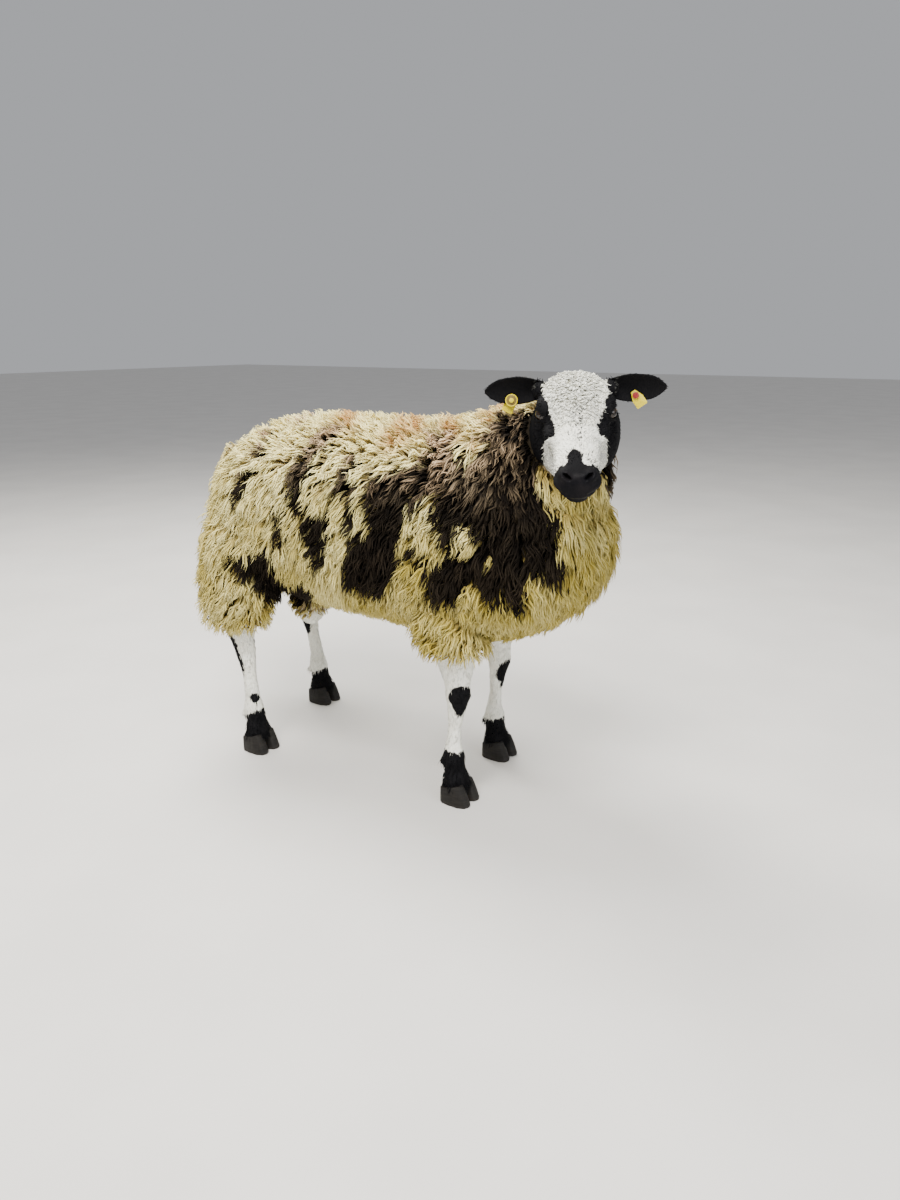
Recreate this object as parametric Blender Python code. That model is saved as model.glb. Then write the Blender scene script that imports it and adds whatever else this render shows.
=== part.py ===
"""Still, life-size model of a Dutch spotted ram lamb: it stands on four feet with its head
turned to its right. Metres, +Z up. The ram faces -Y, and its right side is -X."""

import math
import random

import bmesh
import bpy
from mathutils import Matrix, Vector
from mathutils.bvhtree import BVHTree

# Gap between nodes that touch, and how close two points of a node may lie.
GAP = 0.0003
MERGE = 0.0001

# Trunk under the locks: the core, which reaches about half way to the tips of the fleece.
# Each row holds y, the height of the back, the height of the belly and the half width.
TRUNK_STATIONS = (
    (-0.450, 0.590, 0.510, 0.050),
    (-0.425, 0.640, 0.445, 0.100),
    (-0.370, 0.695, 0.385, 0.140),
    (-0.280, 0.730, 0.350, 0.162),
    (-0.170, 0.736, 0.345, 0.168),
    (-0.040, 0.730, 0.350, 0.172),
    (0.090, 0.732, 0.355, 0.174),
    (0.210, 0.730, 0.366, 0.172),
    (0.295, 0.712, 0.385, 0.160),
    (0.365, 0.686, 0.410, 0.142),
    (0.420, 0.645, 0.445, 0.112),
    (0.452, 0.585, 0.500, 0.052),
)
TRUNK_SQUARENESS = 2.25
TRUNK_SIDES = 24
TRUNK_WIDEST = 0.46

# The neck's core along its bend to the right: centre, half width and half depth.
NECK_STATIONS = (
    ((0.000, -0.170, 0.530), 0.120, 0.160),
    ((0.000, -0.270, 0.620), 0.128, 0.160),
    ((-0.014, -0.335, 0.675), 0.106, 0.130),
    ((-0.032, -0.378, 0.722), 0.086, 0.104),
    ((-0.052, -0.406, 0.762), 0.068, 0.080),
    ((-0.070, -0.425, 0.790), 0.046, 0.056),
)
NECK_SIDES = 20
NECK_FRONT = Vector((0.0, -1.0, 0.2))

# Fore leg of the right side: centre, half width across and half depth along the body.
FORE_STATIONS = (
    ((-0.100, -0.200, 0.430), 0.052, 0.062),
    ((-0.106, -0.203, 0.370), 0.047, 0.056),
    ((-0.110, -0.208, 0.320), 0.040, 0.046),
    ((-0.112, -0.212, 0.285), 0.031, 0.036),
    ((-0.112, -0.215, 0.255), 0.0240, 0.0270),
    ((-0.112, -0.217, 0.232), 0.0255, 0.0275),
    ((-0.112, -0.214, 0.205), 0.0200, 0.0225),
    ((-0.112, -0.209, 0.160), 0.0150, 0.0178),
    ((-0.112, -0.206, 0.124), 0.0165, 0.0200),
    ((-0.112, -0.207, 0.102), 0.0220, 0.0240),
    ((-0.112, -0.209, 0.074), 0.0205, 0.0215),
    ((-0.112, -0.213, 0.050), 0.0305, 0.0265),
    ((-0.112, -0.215, 0.030), 0.0315, 0.0265),
)
# Hind leg of the right side.
HIND_STATIONS = (
    ((-0.108, 0.325, 0.540), 0.062, 0.095),
    ((-0.118, 0.327, 0.460), 0.066, 0.100),
    ((-0.135, 0.336, 0.390), 0.058, 0.088),
    ((-0.147, 0.345, 0.330), 0.048, 0.066),
    ((-0.150, 0.346, 0.293), 0.035, 0.046),
    ((-0.150, 0.338, 0.266), 0.0260, 0.0345),
    ((-0.150, 0.325, 0.236), 0.0215, 0.0270),
    ((-0.150, 0.316, 0.180), 0.0155, 0.0195),
    ((-0.150, 0.311, 0.128), 0.0170, 0.0212),
    ((-0.150, 0.309, 0.100), 0.0222, 0.0245),
    ((-0.150, 0.304, 0.073), 0.0205, 0.0220),
    ((-0.150, 0.301, 0.050), 0.0305, 0.0265),
    ((-0.150, 0.300, 0.030), 0.0315, 0.0265),
)
LEG_SIDES = 14
# How much further back each left foot stands than the right one.
LEFT_FORE_BACK = 0.031
LEFT_HIND_BACK = 0.061

# Hooves: the top of the horn in front, its fall to the heel, and one claw of the pair.
HOOF_TOP = 0.045
HOOF_SLOPE = 0.24
TOE_REACH = 0.040
CLAW_LENGTH = 0.066
CLAW_WIDTH = 0.0335
CLAW_CLEFT = 0.0030
DEW_CLAW_HEIGHT = 0.092
DEW_CLAW_RADII = (0.0075, 0.0075, 0.0110)

# Head, in its own frame: the muzzle is at -Y, the forehead is up and the left side is +X.
HEAD_PLACE = (-0.0666, -0.4245, 0.8116)
HEAD_TURN = math.radians(-63.0)
HEAD_NOD = math.radians(24.0)
HEAD_TILT = math.radians(-2.0)
# Skull and nose: y, height of the middle, half width and half height.
SKULL_STATIONS = (
    (0.055, -0.016, 0.034, 0.032),
    (0.032, -0.010, 0.054, 0.040),
    (0.000, -0.005, 0.063, 0.041),
    (-0.035, -0.004, 0.063, 0.040),
    (-0.065, -0.006, 0.057, 0.039),
    (-0.100, -0.014, 0.045, 0.036),
    (-0.140, -0.023, 0.037, 0.034),
    (-0.175, -0.031, 0.036, 0.031),
    (-0.200, -0.037, 0.035, 0.027),
    (-0.216, -0.041, 0.029, 0.021),
    (-0.224, -0.043, 0.016, 0.012),
)
JAW_STATIONS = (
    (0.022, -0.076, 0.050, 0.040),
    (-0.015, -0.085, 0.062, 0.043),
    (-0.055, -0.083, 0.057, 0.037),
    (-0.100, -0.076, 0.041, 0.028),
    (-0.140, -0.070, 0.031, 0.020),
    (-0.180, -0.067, 0.028, 0.016),
    (-0.203, -0.065, 0.022, 0.012),
    (-0.211, -0.064, 0.011, 0.007),
)
HEAD_SIDES = 20
HEAD_SQUARENESS = 2.3
# Rounded forms of the head: centre and radii. Each one off the middle is made on both sides.
HEAD_FORMS = (
    # Cheek muscle
    ((0.046, -0.010, -0.062), (0.029, 0.056, 0.062)),
    # Brow over the eye
    ((0.049, -0.050, 0.016), (0.018, 0.026, 0.016)),
    # Cheek bone
    ((0.043, -0.088, -0.012), (0.012, 0.034, 0.017)),
    # Woolly poll
    ((0.000, 0.000, 0.018), (0.052, 0.044, 0.026)),
    # Wing of the nostril
    ((0.019, -0.203, -0.024), (0.013, 0.018, 0.012)),
    # Upper lip
    ((0.021, -0.198, -0.047), (0.019, 0.023, 0.013)),
    # Chin
    ((0.000, -0.193, -0.066), (0.021, 0.020, 0.013)),
    # Base of the ear
    ((0.060, 0.014, 0.012), (0.014, 0.016, 0.015)),
)
# Curls of wool on the poll: how many, the middle and reach of the patch, their size and seed.
CURLS = 20
CURL_PATCH = ((0.000, -0.010), (0.050, 0.042))
CURL_RADIUS = 0.0110
CURL_HEIGHT = 0.036
CURL_FALL = 0.014
CURL_SEED = 3
EYE_PLACE = Vector((0.0545, -0.0600, 0.0060))
EYE_FACING = Vector((0.86, -0.46, 0.20)).normalized()
EYE_RADIUS = 0.0135
EYE_SIDES = 12
EYE_RINGS = 8
LID_THICKNESS = 0.0026
LID_OPENING = (0.0125, 0.0060)
NOSTRIL_PLACE = (0.0175, -0.2165, -0.0285)
NOSTRIL_RADII = (0.0038, 0.0120, 0.0050)
NOSTRIL_TURN = (math.radians(-38.0), math.radians(0.0), math.radians(-32.0))
# Mouth line: the inner edge of its groove from the middle to the corner, and the groove's height.
MOUTH_PATH = ((0.0, -0.2155), (0.012, -0.2115), (0.022, -0.200), (0.0275, -0.180), (0.029, -0.160))
MOUTH_HEIGHT = -0.0555
MOUTH_RISE = 0.0060
MOUTH_WIDTH = 0.0018

# Ear: rows along it hold the share of its length, the half width and the depth of the cup.
EAR_ROOT = Vector((0.052, 0.016, 0.012))
EAR_LENGTH = 0.106
EAR_ROWS = (
    (0.00, 0.0140, 0.0110),
    (0.12, 0.0185, 0.0135),
    (0.28, 0.0240, 0.0130),
    (0.45, 0.0265, 0.0110),
    (0.62, 0.0250, 0.0085),
    (0.78, 0.0195, 0.0056),
    (0.91, 0.0108, 0.0026),
    (1.00, 0.0020, 0.0004),
)
EAR_ACROSS = 6
EAR_THICKNESS = 0.0028
EAR_BACK = math.radians(4.0)
EAR_DROP = math.radians(4.0)
EAR_TIP_DROP = 0.008

# Ear tags: where the stud goes through, the round disc and the flag.
TAG_SHARE = 0.50
TAG_ACROSS = -0.50
TAG_STUD_RADIUS = 0.0024
TAG_HOLE_ROOM = 0.0008
TAG_DISC_RADIUS = 0.0115
TAG_PLATE = 0.0020
FLAG_HALF_WIDTH = 0.0110
FLAG_ABOVE = 0.0090
FLAG_BELOW = 0.0200

# Tail and scrotum, under their wool.
TAIL_STATIONS = (
    ((0.000, 0.440, 0.660), 0.032, 0.028),
    ((0.000, 0.478, 0.642), 0.034, 0.028),
    ((0.000, 0.502, 0.595), 0.034, 0.026),
    ((0.000, 0.506, 0.530), 0.032, 0.024),
    ((0.000, 0.500, 0.465), 0.026, 0.020),
    ((0.000, 0.492, 0.430), 0.012, 0.010),
)
TAIL_SIDES = 10
SCROTUM_CENTRE = (0.000, 0.255, 0.335)
SCROTUM_RADII = (0.044, 0.040, 0.068)

# Where the fleece ends on the legs and towards the poll.
POLL_FLEECE_END = (0.780, 0.840)
POLL_FLEECE_SHARE = 0.2

# One lock of the fleece: rows along it hold the share of its length, how high its underside
# stands over the core, the share of its half width and its thickness.
LOCK_ROWS = (
    (0.00, -0.014, 0.66, 0.018),
    (0.38, 0.007, 1.00, 0.021),
    (0.76, 0.018, 0.68, 0.013),
)
LOCK_TIP_RISE = 0.028
LOCK_TOP_SHARE = 0.48
LOCK_LENGTH = 0.155
LOCK_HALF_WIDTH = 0.054
LOCK_SPREAD = 0.078
LOCK_VARIETY = 0.16
LOCK_SWAY = math.radians(14.0)
LOCK_BEND = 0.014
LOCK_SEED = 7
TAIL_LOCK_SPREAD = 0.046
TAIL_LOCK_SIZE = 0.50
FORE_FLEECE_END = (0.285, 0.345)
HIND_FLEECE_END = (0.275, 0.335)

# Where the body is parted. Each plane's normal points into the node that it parts off.
NECK_PLANE = (Vector((0.0, -0.170, 0.780)), Vector((0.0, -0.647, 0.7625)))
HIND_PLANE = (Vector((0.0, 0.330, 0.420)), Vector((0.0, 0.350, -0.940)))
FORE_BOX_X = (0.045, 0.260)
FORE_BOX_Y = (-0.295, -0.115)
FORE_BOX_TOP = 0.370
HEAD_PLANE = (Vector((0.0, 0.045, 0.030)), Vector((0.0, -0.9125, 0.409)))
# The underside of the room left in the neck's wool for the head, in the head's frame.
HEAD_FLOOR = -0.133

# Triangles of the flesh before the fleece is set on it.
BODY_TRIANGLES = 1400
HEAD_TRIANGLES = 1700
BODY_VOXEL = 0.010
LEG_VOXEL = 0.005
HEAD_VOXEL = 0.003

COLOURS = {
    "fleece": ((0.72, 0.64, 0.47, 1.0), 0.95),
    "hair": ((0.06, 0.045, 0.035, 1.0), 0.75),
    "ear": ((0.035, 0.028, 0.026, 1.0), 0.80),
    "eye": ((0.030, 0.018, 0.010, 1.0), 0.08),
    "horn": ((0.16, 0.14, 0.12, 1.0), 0.55),
    "tag": ((0.85, 0.72, 0.08, 1.0), 0.40),
}


def clear_scene():
    for obj in list(bpy.data.objects):
        bpy.data.objects.remove(obj, do_unlink=True)


def link(name, mesh):
    obj = bpy.data.objects.new(name, mesh)
    bpy.context.scene.collection.objects.link(obj)
    return obj


def add_mesh(name, points, faces):
    mesh = bpy.data.meshes.new(name)
    mesh.from_pydata([tuple(p) for p in points], [], faces)
    work = bmesh.new()
    work.from_mesh(mesh)
    bmesh.ops.recalc_face_normals(work, faces=work.faces)
    work.to_mesh(mesh)
    work.free()
    return link(name, mesh)


def remove(objects):
    for obj in objects:
        bpy.data.objects.remove(obj, do_unlink=True)


def copy_of(obj, name):
    return link(name, obj.data.copy())


def loft(name, rings):
    """A closed tube through rings of as many points each, with a fan at each end."""
    sides = len(rings[0])
    points = [p for ring in rings for p in ring]
    faces = []
    for row in range(len(rings) - 1):
        for k in range(sides):
            a = row * sides + k
            b = row * sides + (k + 1) % sides
            faces.append((a, b, b + sides))
            faces.append((a, b + sides, a + sides))
    for ring, start in ((rings[0], 0), (rings[-1], (len(rings) - 1) * sides)):
        points.append(sum((Vector(p) for p in ring), Vector()) / sides)
        hub = len(points) - 1
        for k in range(sides):
            faces.append((start + k, start + (k + 1) % sides, hub))
    return add_mesh(name, points, faces)


def rounded(angle, power):
    """A point of the unit superellipse: 2 is a circle, and more is squarer."""
    c = math.cos(angle)
    s = math.sin(angle)
    return (
        math.copysign(abs(c) ** (2 / power), c),
        math.copysign(abs(s) ** (2 / power), s),
    )


def trunk_core():
    rings = []
    for y, top, bottom, half in TRUNK_STATIONS:
        wide = bottom + (top - bottom) * TRUNK_WIDEST
        ring = []
        for k in range(TRUNK_SIDES):
            across, up = rounded(2 * math.pi * k / TRUNK_SIDES, TRUNK_SQUARENESS)
            reach = top - wide if up > 0 else wide - bottom
            ring.append(Vector((half * across, y, wide + reach * up)))
        rings.append(ring)
    return loft("trunk", rings)


def bent_tube(name, stations, sides, toward):
    """A tube through stations (centre, half width, half depth), each ring square to its way."""
    centres = [Vector(c) for c, _, _ in stations]
    rings = []
    for i, (_, half_width, half_depth) in enumerate(stations):
        along = centres[min(i + 1, len(centres) - 1)] - centres[max(i - 1, 0)]
        side = along.cross(toward).normalized()
        front = side.cross(along).normalized()
        ring = []
        for k in range(sides):
            angle = 2 * math.pi * k / sides
            step = side * half_width * math.cos(angle) + front * half_depth * math.sin(angle)
            ring.append(centres[i] + step)
        rings.append(ring)
    return loft(name, rings)


def leg_tube(stations):
    """A tube with level rings."""
    rings = []
    for centre, half_width, half_depth in stations:
        ring = []
        for k in range(LEG_SIDES):
            angle = 2 * math.pi * k / LEG_SIDES
            step = Vector((half_width * math.cos(angle), half_depth * math.sin(angle), 0))
            ring.append(Vector(centre) + step)
        rings.append(ring)
    return loft("leg", rings)


def head_tube(name, stations):
    """A tube along the head, from its back to its front."""
    rings = []
    for y, middle, half_width, half_height in stations:
        ring = []
        for k in range(HEAD_SIDES):
            across, up = rounded(2 * math.pi * k / HEAD_SIDES, HEAD_SQUARENESS)
            ring.append(Vector((half_width * across, y, middle + half_height * up)))
        rings.append(ring)
    return loft(name, rings)


def ball(name, centre, radii, segments=16, rows=10, turn=(0.0, 0.0, 0.0)):
    """An ellipsoid, turned about its own centre."""
    work = bmesh.new()
    bmesh.ops.create_uvsphere(work, u_segments=segments, v_segments=rows, radius=1.0)
    turned = Matrix.Rotation(turn[2], 4, "Z") @ Matrix.Rotation(turn[1], 4, "Y")
    turned = turned @ Matrix.Rotation(turn[0], 4, "X")
    place = Matrix.Translation(centre) @ turned @ Matrix.Diagonal((*radii, 1.0))
    bmesh.ops.transform(work, matrix=place, verts=work.verts)
    mesh = bpy.data.meshes.new(name)
    work.to_mesh(mesh)
    work.free()
    return link(name, mesh)


def block(name, low, high):
    x0, y0, z0 = low
    x1, y1, z1 = high
    points = [(x, y, z) for z in (z0, z1) for y in (y0, y1) for x in (x0, x1)]
    faces = [(0, 2, 3, 1), (4, 5, 7, 6), (0, 1, 5, 4), (2, 6, 7, 3), (0, 4, 6, 2), (1, 3, 7, 5)]
    return add_mesh(name, points, faces)


def half_space(point, normal, back=0.0):
    """A large block on the side that the normal points to, its near face moved back."""
    obj = block("half_space", (-1.2, -1.2, 0.0), (1.2, 1.2, 1.2))
    unit = Vector(normal).normalized()
    turn = unit.to_track_quat("Z", "Y").to_matrix().to_4x4()
    obj.data.transform(Matrix.Translation(Vector(point) - unit * back) @ turn)
    return obj


def apply_modifiers(obj):
    graph = bpy.context.evaluated_depsgraph_get()
    mesh = bpy.data.meshes.new_from_object(obj.evaluated_get(graph))
    old = obj.data
    obj.modifiers.clear()
    obj.data = mesh
    bpy.data.meshes.remove(old)


def boolean(obj, others, operation, solver="EXACT"):
    """Joins, cuts or keeps by a collection of closed meshes, which are then removed."""
    operands = bpy.data.collections.new("operands")
    for other in others:
        operands.objects.link(other)
    modifier = obj.modifiers.new("boolean", "BOOLEAN")
    modifier.operation = operation
    modifier.solver = solver
    modifier.operand_type = "COLLECTION"
    modifier.collection = operands
    apply_modifiers(obj)
    remove(others)
    bpy.data.collections.remove(operands)
    return obj


def keep_largest(obj):
    """Keeps the largest closed surface, which fills sealed hollows and drops loose scraps."""
    work = bmesh.new()
    work.from_mesh(obj.data)
    left = set(work.verts)
    islands = []
    while left:
        stack = [left.pop()]
        island = set(stack)
        while stack:
            for edge in stack.pop().link_edges:
                for vert in edge.verts:
                    if vert in left:
                        left.discard(vert)
                        island.add(vert)
                        stack.append(vert)
        islands.append(island)

    def size(island):
        total = 1.0
        for axis in range(3):
            values = [v.co[axis] for v in island]
            total *= max(values) - min(values)
        return total

    islands.sort(key=size)
    for island in islands[:-1]:
        bmesh.ops.delete(work, geom=list(island), context="VERTS")
    work.to_mesh(obj.data)
    work.free()
    return obj


def part_of(body, name, keep=(), leave=()):
    """A copy of the body inside every block of keep and outside every block of leave."""
    node = copy_of(body, name)
    for cutter in keep:
        boolean(node, [cutter], "INTERSECT", "MANIFOLD")
    if leave:
        boolean(node, list(leave), "DIFFERENCE", "MANIFOLD")
    return keep_largest(node)


def grown(obj, distance):
    """A copy whose surface is moved out."""
    copy = copy_of(obj, "grown")
    work = bmesh.new()
    work.from_mesh(copy.data)
    work.normal_update()
    moved = [(v, v.co + v.normal * distance) for v in work.verts]
    for vert, place in moved:
        vert.co = place
    work.to_mesh(copy.data)
    work.free()
    return copy


def sound(obj):
    """Merges points that a cut left side by side and splits the faces into triangles."""
    work = bmesh.new()
    work.from_mesh(obj.data)
    bmesh.ops.remove_doubles(work, verts=work.verts, dist=MERGE)
    bmesh.ops.dissolve_degenerate(work, edges=work.edges, dist=MERGE / 4)
    bmesh.ops.triangulate(work, faces=work.faces, quad_method="BEAUTY", ngon_method="BEAUTY")
    work.to_mesh(obj.data)
    work.free()
    return obj


def clear_of(obj, others):
    """Cuts an object clear of its neighbours by the gap, and keeps its largest piece."""
    for other in others:
        boolean(obj, [grown(other, GAP)], "DIFFERENCE")
    return keep_largest(obj)


def melt(name, pieces, voxel, smoothing):
    """Joins closed pieces into one smooth skin."""
    work = bmesh.new()
    for piece in pieces:
        work.from_mesh(piece.data)
    remove(pieces)
    mesh = bpy.data.meshes.new(name)
    work.to_mesh(mesh)
    work.free()
    obj = link(name, mesh)
    remesh = obj.modifiers.new("remesh", "REMESH")
    remesh.mode = "VOXEL"
    remesh.voxel_size = voxel
    smooth = obj.modifiers.new("smooth", "SMOOTH")
    smooth.factor = 0.5
    smooth.iterations = smoothing
    apply_modifiers(obj)
    return obj


def coarsen(obj, triangles):
    """Takes the skin down to about as many triangles."""
    split = obj.modifiers.new("split", "TRIANGULATE")
    split.quad_method = "FIXED"
    apply_modifiers(obj)
    fewer = obj.modifiers.new("fewer", "DECIMATE")
    fewer.ratio = triangles / len(obj.data.polygons)
    apply_modifiers(obj)
    return obj


def head_matrix():
    turn = Matrix.Rotation(HEAD_TURN, 4, "Z") @ Matrix.Rotation(HEAD_NOD, 4, "X")
    return Matrix.Translation(HEAD_PLACE) @ turn @ Matrix.Rotation(HEAD_TILT, 4, "Y")


def head_room(grow):
    """A prism round the head: its back is the plane between head and neck."""
    point, normal = HEAD_PLANE
    slope = -normal.z / normal.y
    top = 0.25
    reach = 0.40
    back = [point.y + slope * (z - point.z) + grow for z in (top, HEAD_FLOOR - grow)]
    profile = ((back[0], top), (-reach, top), (-reach, HEAD_FLOOR - grow), (back[1], HEAD_FLOOR - grow))
    room = loft("head_room", [[Vector((x, y, z)) for y, z in profile] for x in (-reach, reach)])
    room.data.transform(head_matrix())
    return room


def near_head(place, margin):
    """Whether a place of the body's frame lies in the head's room or within a margin of it."""
    local = head_matrix().inverted() @ place
    behind = (HEAD_PLANE[0] - local).dot(HEAD_PLANE[1].normalized())
    return behind < margin and local.z > HEAD_FLOOR - margin


def leg_rows(stations, side, back):
    """The right leg's stations, or for the left leg their mirror, set further back."""
    if side < 0:
        return stations
    return [((-c[0], c[1] + back, c[2]), w, d) for c, w, d in stations]


LEGS = (
    ("fore_right", FORE_STATIONS, -1, 0.0),
    ("fore_left", FORE_STATIONS, 1, LEFT_FORE_BACK),
    ("hind_right", HIND_STATIONS, -1, 0.0),
    ("hind_left", HIND_STATIONS, 1, LEFT_HIND_BACK),
)


def toe_of(rows):
    """Where the toes of a foot end, and the middle of the foot across."""
    return rows[-1][0][1] - TOE_REACH, rows[-1][0][0]


def body_core():
    """Trunk, neck and legs as one skin, down to the hooves."""
    torso = [trunk_core(), bent_tube("neck", NECK_STATIONS, NECK_SIDES, NECK_FRONT)]
    upper = melt("upper", torso, BODY_VOXEL, 10)
    legs = [leg_tube(leg_rows(stations, side, back)) for _, stations, side, back in LEGS]
    body = melt("body", [upper] + legs, LEG_VOXEL, 3)
    return coarsen(body, BODY_TRIANGLES)


def smooth_step(low, high, value):
    share = min(max((value - low) / (high - low), 0.0), 1.0)
    return share * share * (3 - 2 * share)


def fleece_share(point):
    """1 where the fleece is full, and 0 on the bare legs."""
    low, high = HIND_FLEECE_END if point.y > 0.05 else FORE_FLEECE_END
    poll = (1 - POLL_FLEECE_SHARE) * smooth_step(*POLL_FLEECE_END, point.z)
    return smooth_step(low, high, point.z) * (1 - poll)


def spread_roots(obj, draw, spread, wanted):
    """Places on a surface, each at least spread from the others, with the normal there."""
    mesh = obj.data
    mesh.calc_loop_triangles()
    triangles = [tri for tri in mesh.loop_triangles if tri.area > 0]
    areas = [tri.area for tri in triangles]
    tries = int(sum(areas) / spread**2 * 40)
    cells = {}
    roots = []
    for tri in draw.choices(triangles, areas, k=tries):
        a, b, c = (mesh.vertices[i] for i in tri.vertices)
        u = math.sqrt(draw.random())
        v = draw.random()
        mix = (1 - u, u * (1 - v), u * v)
        place = a.co * mix[0] + b.co * mix[1] + c.co * mix[2]
        if not wanted(place):
            continue
        key = tuple(int(math.floor(value / spread)) for value in place)
        near = False
        for dx in (-1, 0, 1):
            for dy in (-1, 0, 1):
                for dz in (-1, 0, 1):
                    for other, _ in cells.get((key[0] + dx, key[1] + dy, key[2] + dz), ()):
                        near = near or (other - place).length < spread
        if near:
            continue
        normal = (a.normal * mix[0] + b.normal * mix[1] + c.normal * mix[2]).normalized()
        cells.setdefault(key, []).append((place, normal))
        roots.append((place, normal))
    return roots


def lie_of(place, normal):
    """The way the coat lies: back along the top, and down and a little back elsewhere."""
    way = Vector((0.0, 0.42, -0.90))
    if place.y < -0.30:
        way = Vector((0.0, 0.10, -1.0))
    way = way - normal * way.dot(normal)
    if way.length < 0.05:
        way = Vector((0.0, 1.0, 0.0))
    return way.normalized()


def lock(surface, place, normal, draw, size):
    """A flat tapered lock that lies over the core along the coat's lie."""
    lie = lie_of(place, normal)
    lie = Matrix.Rotation(draw.uniform(-LOCK_SWAY, LOCK_SWAY), 3, normal) @ lie
    share = (0.35 + 0.65 * fleece_share(place)) * size
    length = LOCK_LENGTH * share * draw.uniform(1 - LOCK_VARIETY, 1 + LOCK_VARIETY)
    half_width = LOCK_HALF_WIDTH * share * draw.uniform(1 - LOCK_VARIETY, 1 + LOCK_VARIETY)
    lift = share * draw.uniform(1 - LOCK_VARIETY, 1 + LOCK_VARIETY)
    bend = draw.uniform(-LOCK_BEND, LOCK_BEND)
    across = normal.cross(lie).normalized()
    rings = []
    for along, rise, width, thick in LOCK_ROWS:
        guess = place + lie * length * along + across * bend * along * along
        found, up, _, _ = surface.find_nearest(guess)
        up = (up * 0.7 + normal * 0.3).normalized()
        foot = found * 0.75 + guess * 0.25 + up * rise * (lift if rise > 0 else size)
        side = up.cross(lie).normalized() * half_width * width
        top = up * thick * lift
        rings.append(
            [
                foot - side,
                foot - side * LOCK_TOP_SHARE + top,
                foot + side * LOCK_TOP_SHARE + top,
                foot + side,
            ]
        )
    guess = place + lie * length + across * bend
    found, up, _, _ = surface.find_nearest(guess)
    tip = found * 0.75 + guess * 0.25 + up * LOCK_TIP_RISE * lift
    return pointed("lock", rings, tip)


def pointed(name, rings, tip):
    """A closed form through rings, flat at its root and drawn to a tip."""
    sides = len(rings[0])
    points = [p for ring in rings for p in ring] + [tip]
    faces = [tuple(range(sides))]
    for row in range(len(rings) - 1):
        for k in range(sides):
            a = row * sides + k
            b = row * sides + (k + 1) % sides
            faces.append((a, b, b + sides))
            faces.append((a, b + sides, a + sides))
    start = (len(rings) - 1) * sides
    for k in range(sides):
        faces.append((start + k, start + (k + 1) % sides, len(points) - 1))
    return add_mesh(name, points, faces)


def set_locks(core, spread, size, wanted):
    """Locks over a core where they are wanted, fused to it."""
    draw = random.Random(LOCK_SEED)
    surface = BVHTree.FromPolygons(
        [v.co.copy() for v in core.data.vertices],
        [tuple(face.vertices) for face in core.data.polygons],
    )
    roots = spread_roots(core, draw, spread, wanted)
    locks = [lock(surface, place, normal, draw, size) for place, normal in roots]
    boolean(core, locks, "UNION", "MANIFOLD")
    return keep_largest(core)


def carries_fleece(place):
    """Whether locks root here: on the wool, clear of the groin and of the tail."""
    if fleece_share(place) < 0.4:
        return False
    if near_head(place, 0.012):
        return False
    in_groin = abs(place.x) < 0.060 and place.y > 0.16 and place.z < 0.42
    under_tail = abs(place.x) < 0.045 and place.y > 0.40
    return not in_groin and not under_tail


def on_tail(place):
    """Whether a lock of the tail roots here: on its free length, away from the rump."""
    return 0.450 < place.z < 0.655 and place.y > 0.470


def fore_box(side, grow):
    back = LEFT_FORE_BACK if side > 0 else 0.0
    across = sorted((side * (FORE_BOX_X[0] - grow), side * (FORE_BOX_X[1] + grow)))
    low = (across[0], FORE_BOX_Y[0] + back - grow, -0.1)
    high = (across[1], FORE_BOX_Y[1] + back + grow, FORE_BOX_TOP + grow)
    return block("fore_box", low, high)


def coronet(rows, grow):
    """The sloping plane over the horn of a foot: a point on it and its upward normal."""
    toe, middle = toe_of(rows)
    return Vector((middle, toe + 0.02, HOOF_TOP + grow)), Vector((0.0, HOOF_SLOPE, 1.0))


def claw(name, middle, toe, side):
    """One claw: a flat sole, a sloping front wall and a low heel."""
    outline = ((0.00, 0.14), (0.06, 0.66), (0.28, 1.00), (0.60, 0.98), (0.88, 0.80), (1.00, 0.42))
    # Height share, how far the toe is drawn back and the width share
    levels = ((0.0, 0.02, 0.97), (0.08, 0.0, 1.0), (0.55, 0.13, 0.97), (1.0, 0.27, 0.88))
    rings = []
    for up, inset, width in levels:
        ring = []
        for half in (1, -1):
            rows = outline if half > 0 else outline[::-1]
            for share, across in rows:
                y = toe + CLAW_LENGTH * (inset + share * (1 - inset))
                height = (HOOF_TOP - GAP - HOOF_SLOPE * (y - toe - 0.02)) * up
                lean = 0.0 if half * side > 0 else 0.35
                x = middle + half * across * (width - lean * (1 - width)) * CLAW_WIDTH / 2
                ring.append(Vector((x, y, height)))
        rings.append(ring)
    return loft(name, rings)


def claws():
    made = []
    for leg, stations, side, back in LEGS:
        toe, middle = toe_of(leg_rows(stations, side, back))
        for hand, word in ((side, "outer"), (-side, "inner")):
            offset = hand * (CLAW_WIDTH + CLAW_CLEFT) / 2
            made.append(claw(f"claw_{leg}_{word}", middle + offset, toe, hand))
    return made


def dew_claws():
    """Two small claws behind each fetlock."""
    made = []
    for _, stations, side, back in LEGS:
        rows = leg_rows(stations, side, back)
        fetlock = Vector(rows[9][0])
        depth = rows[9][2]
        for hand in (-1, 1):
            place = (fetlock.x + hand * 0.011, fetlock.y + depth * 0.92, DEW_CLAW_HEIGHT)
            made.append(ball("dew_claw", place, DEW_CLAW_RADII, 8, 5))
    return made


def mirrored_forms(name, forms):
    made = []
    for centre, radii in forms:
        for side in (-1, 1) if centre[0] else (1,):
            made.append(ball(name, (side * centre[0], centre[1], centre[2]), radii))
    return made


def to_side(vector, side):
    return Vector((side * vector[0], vector[1], vector[2]))


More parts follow.
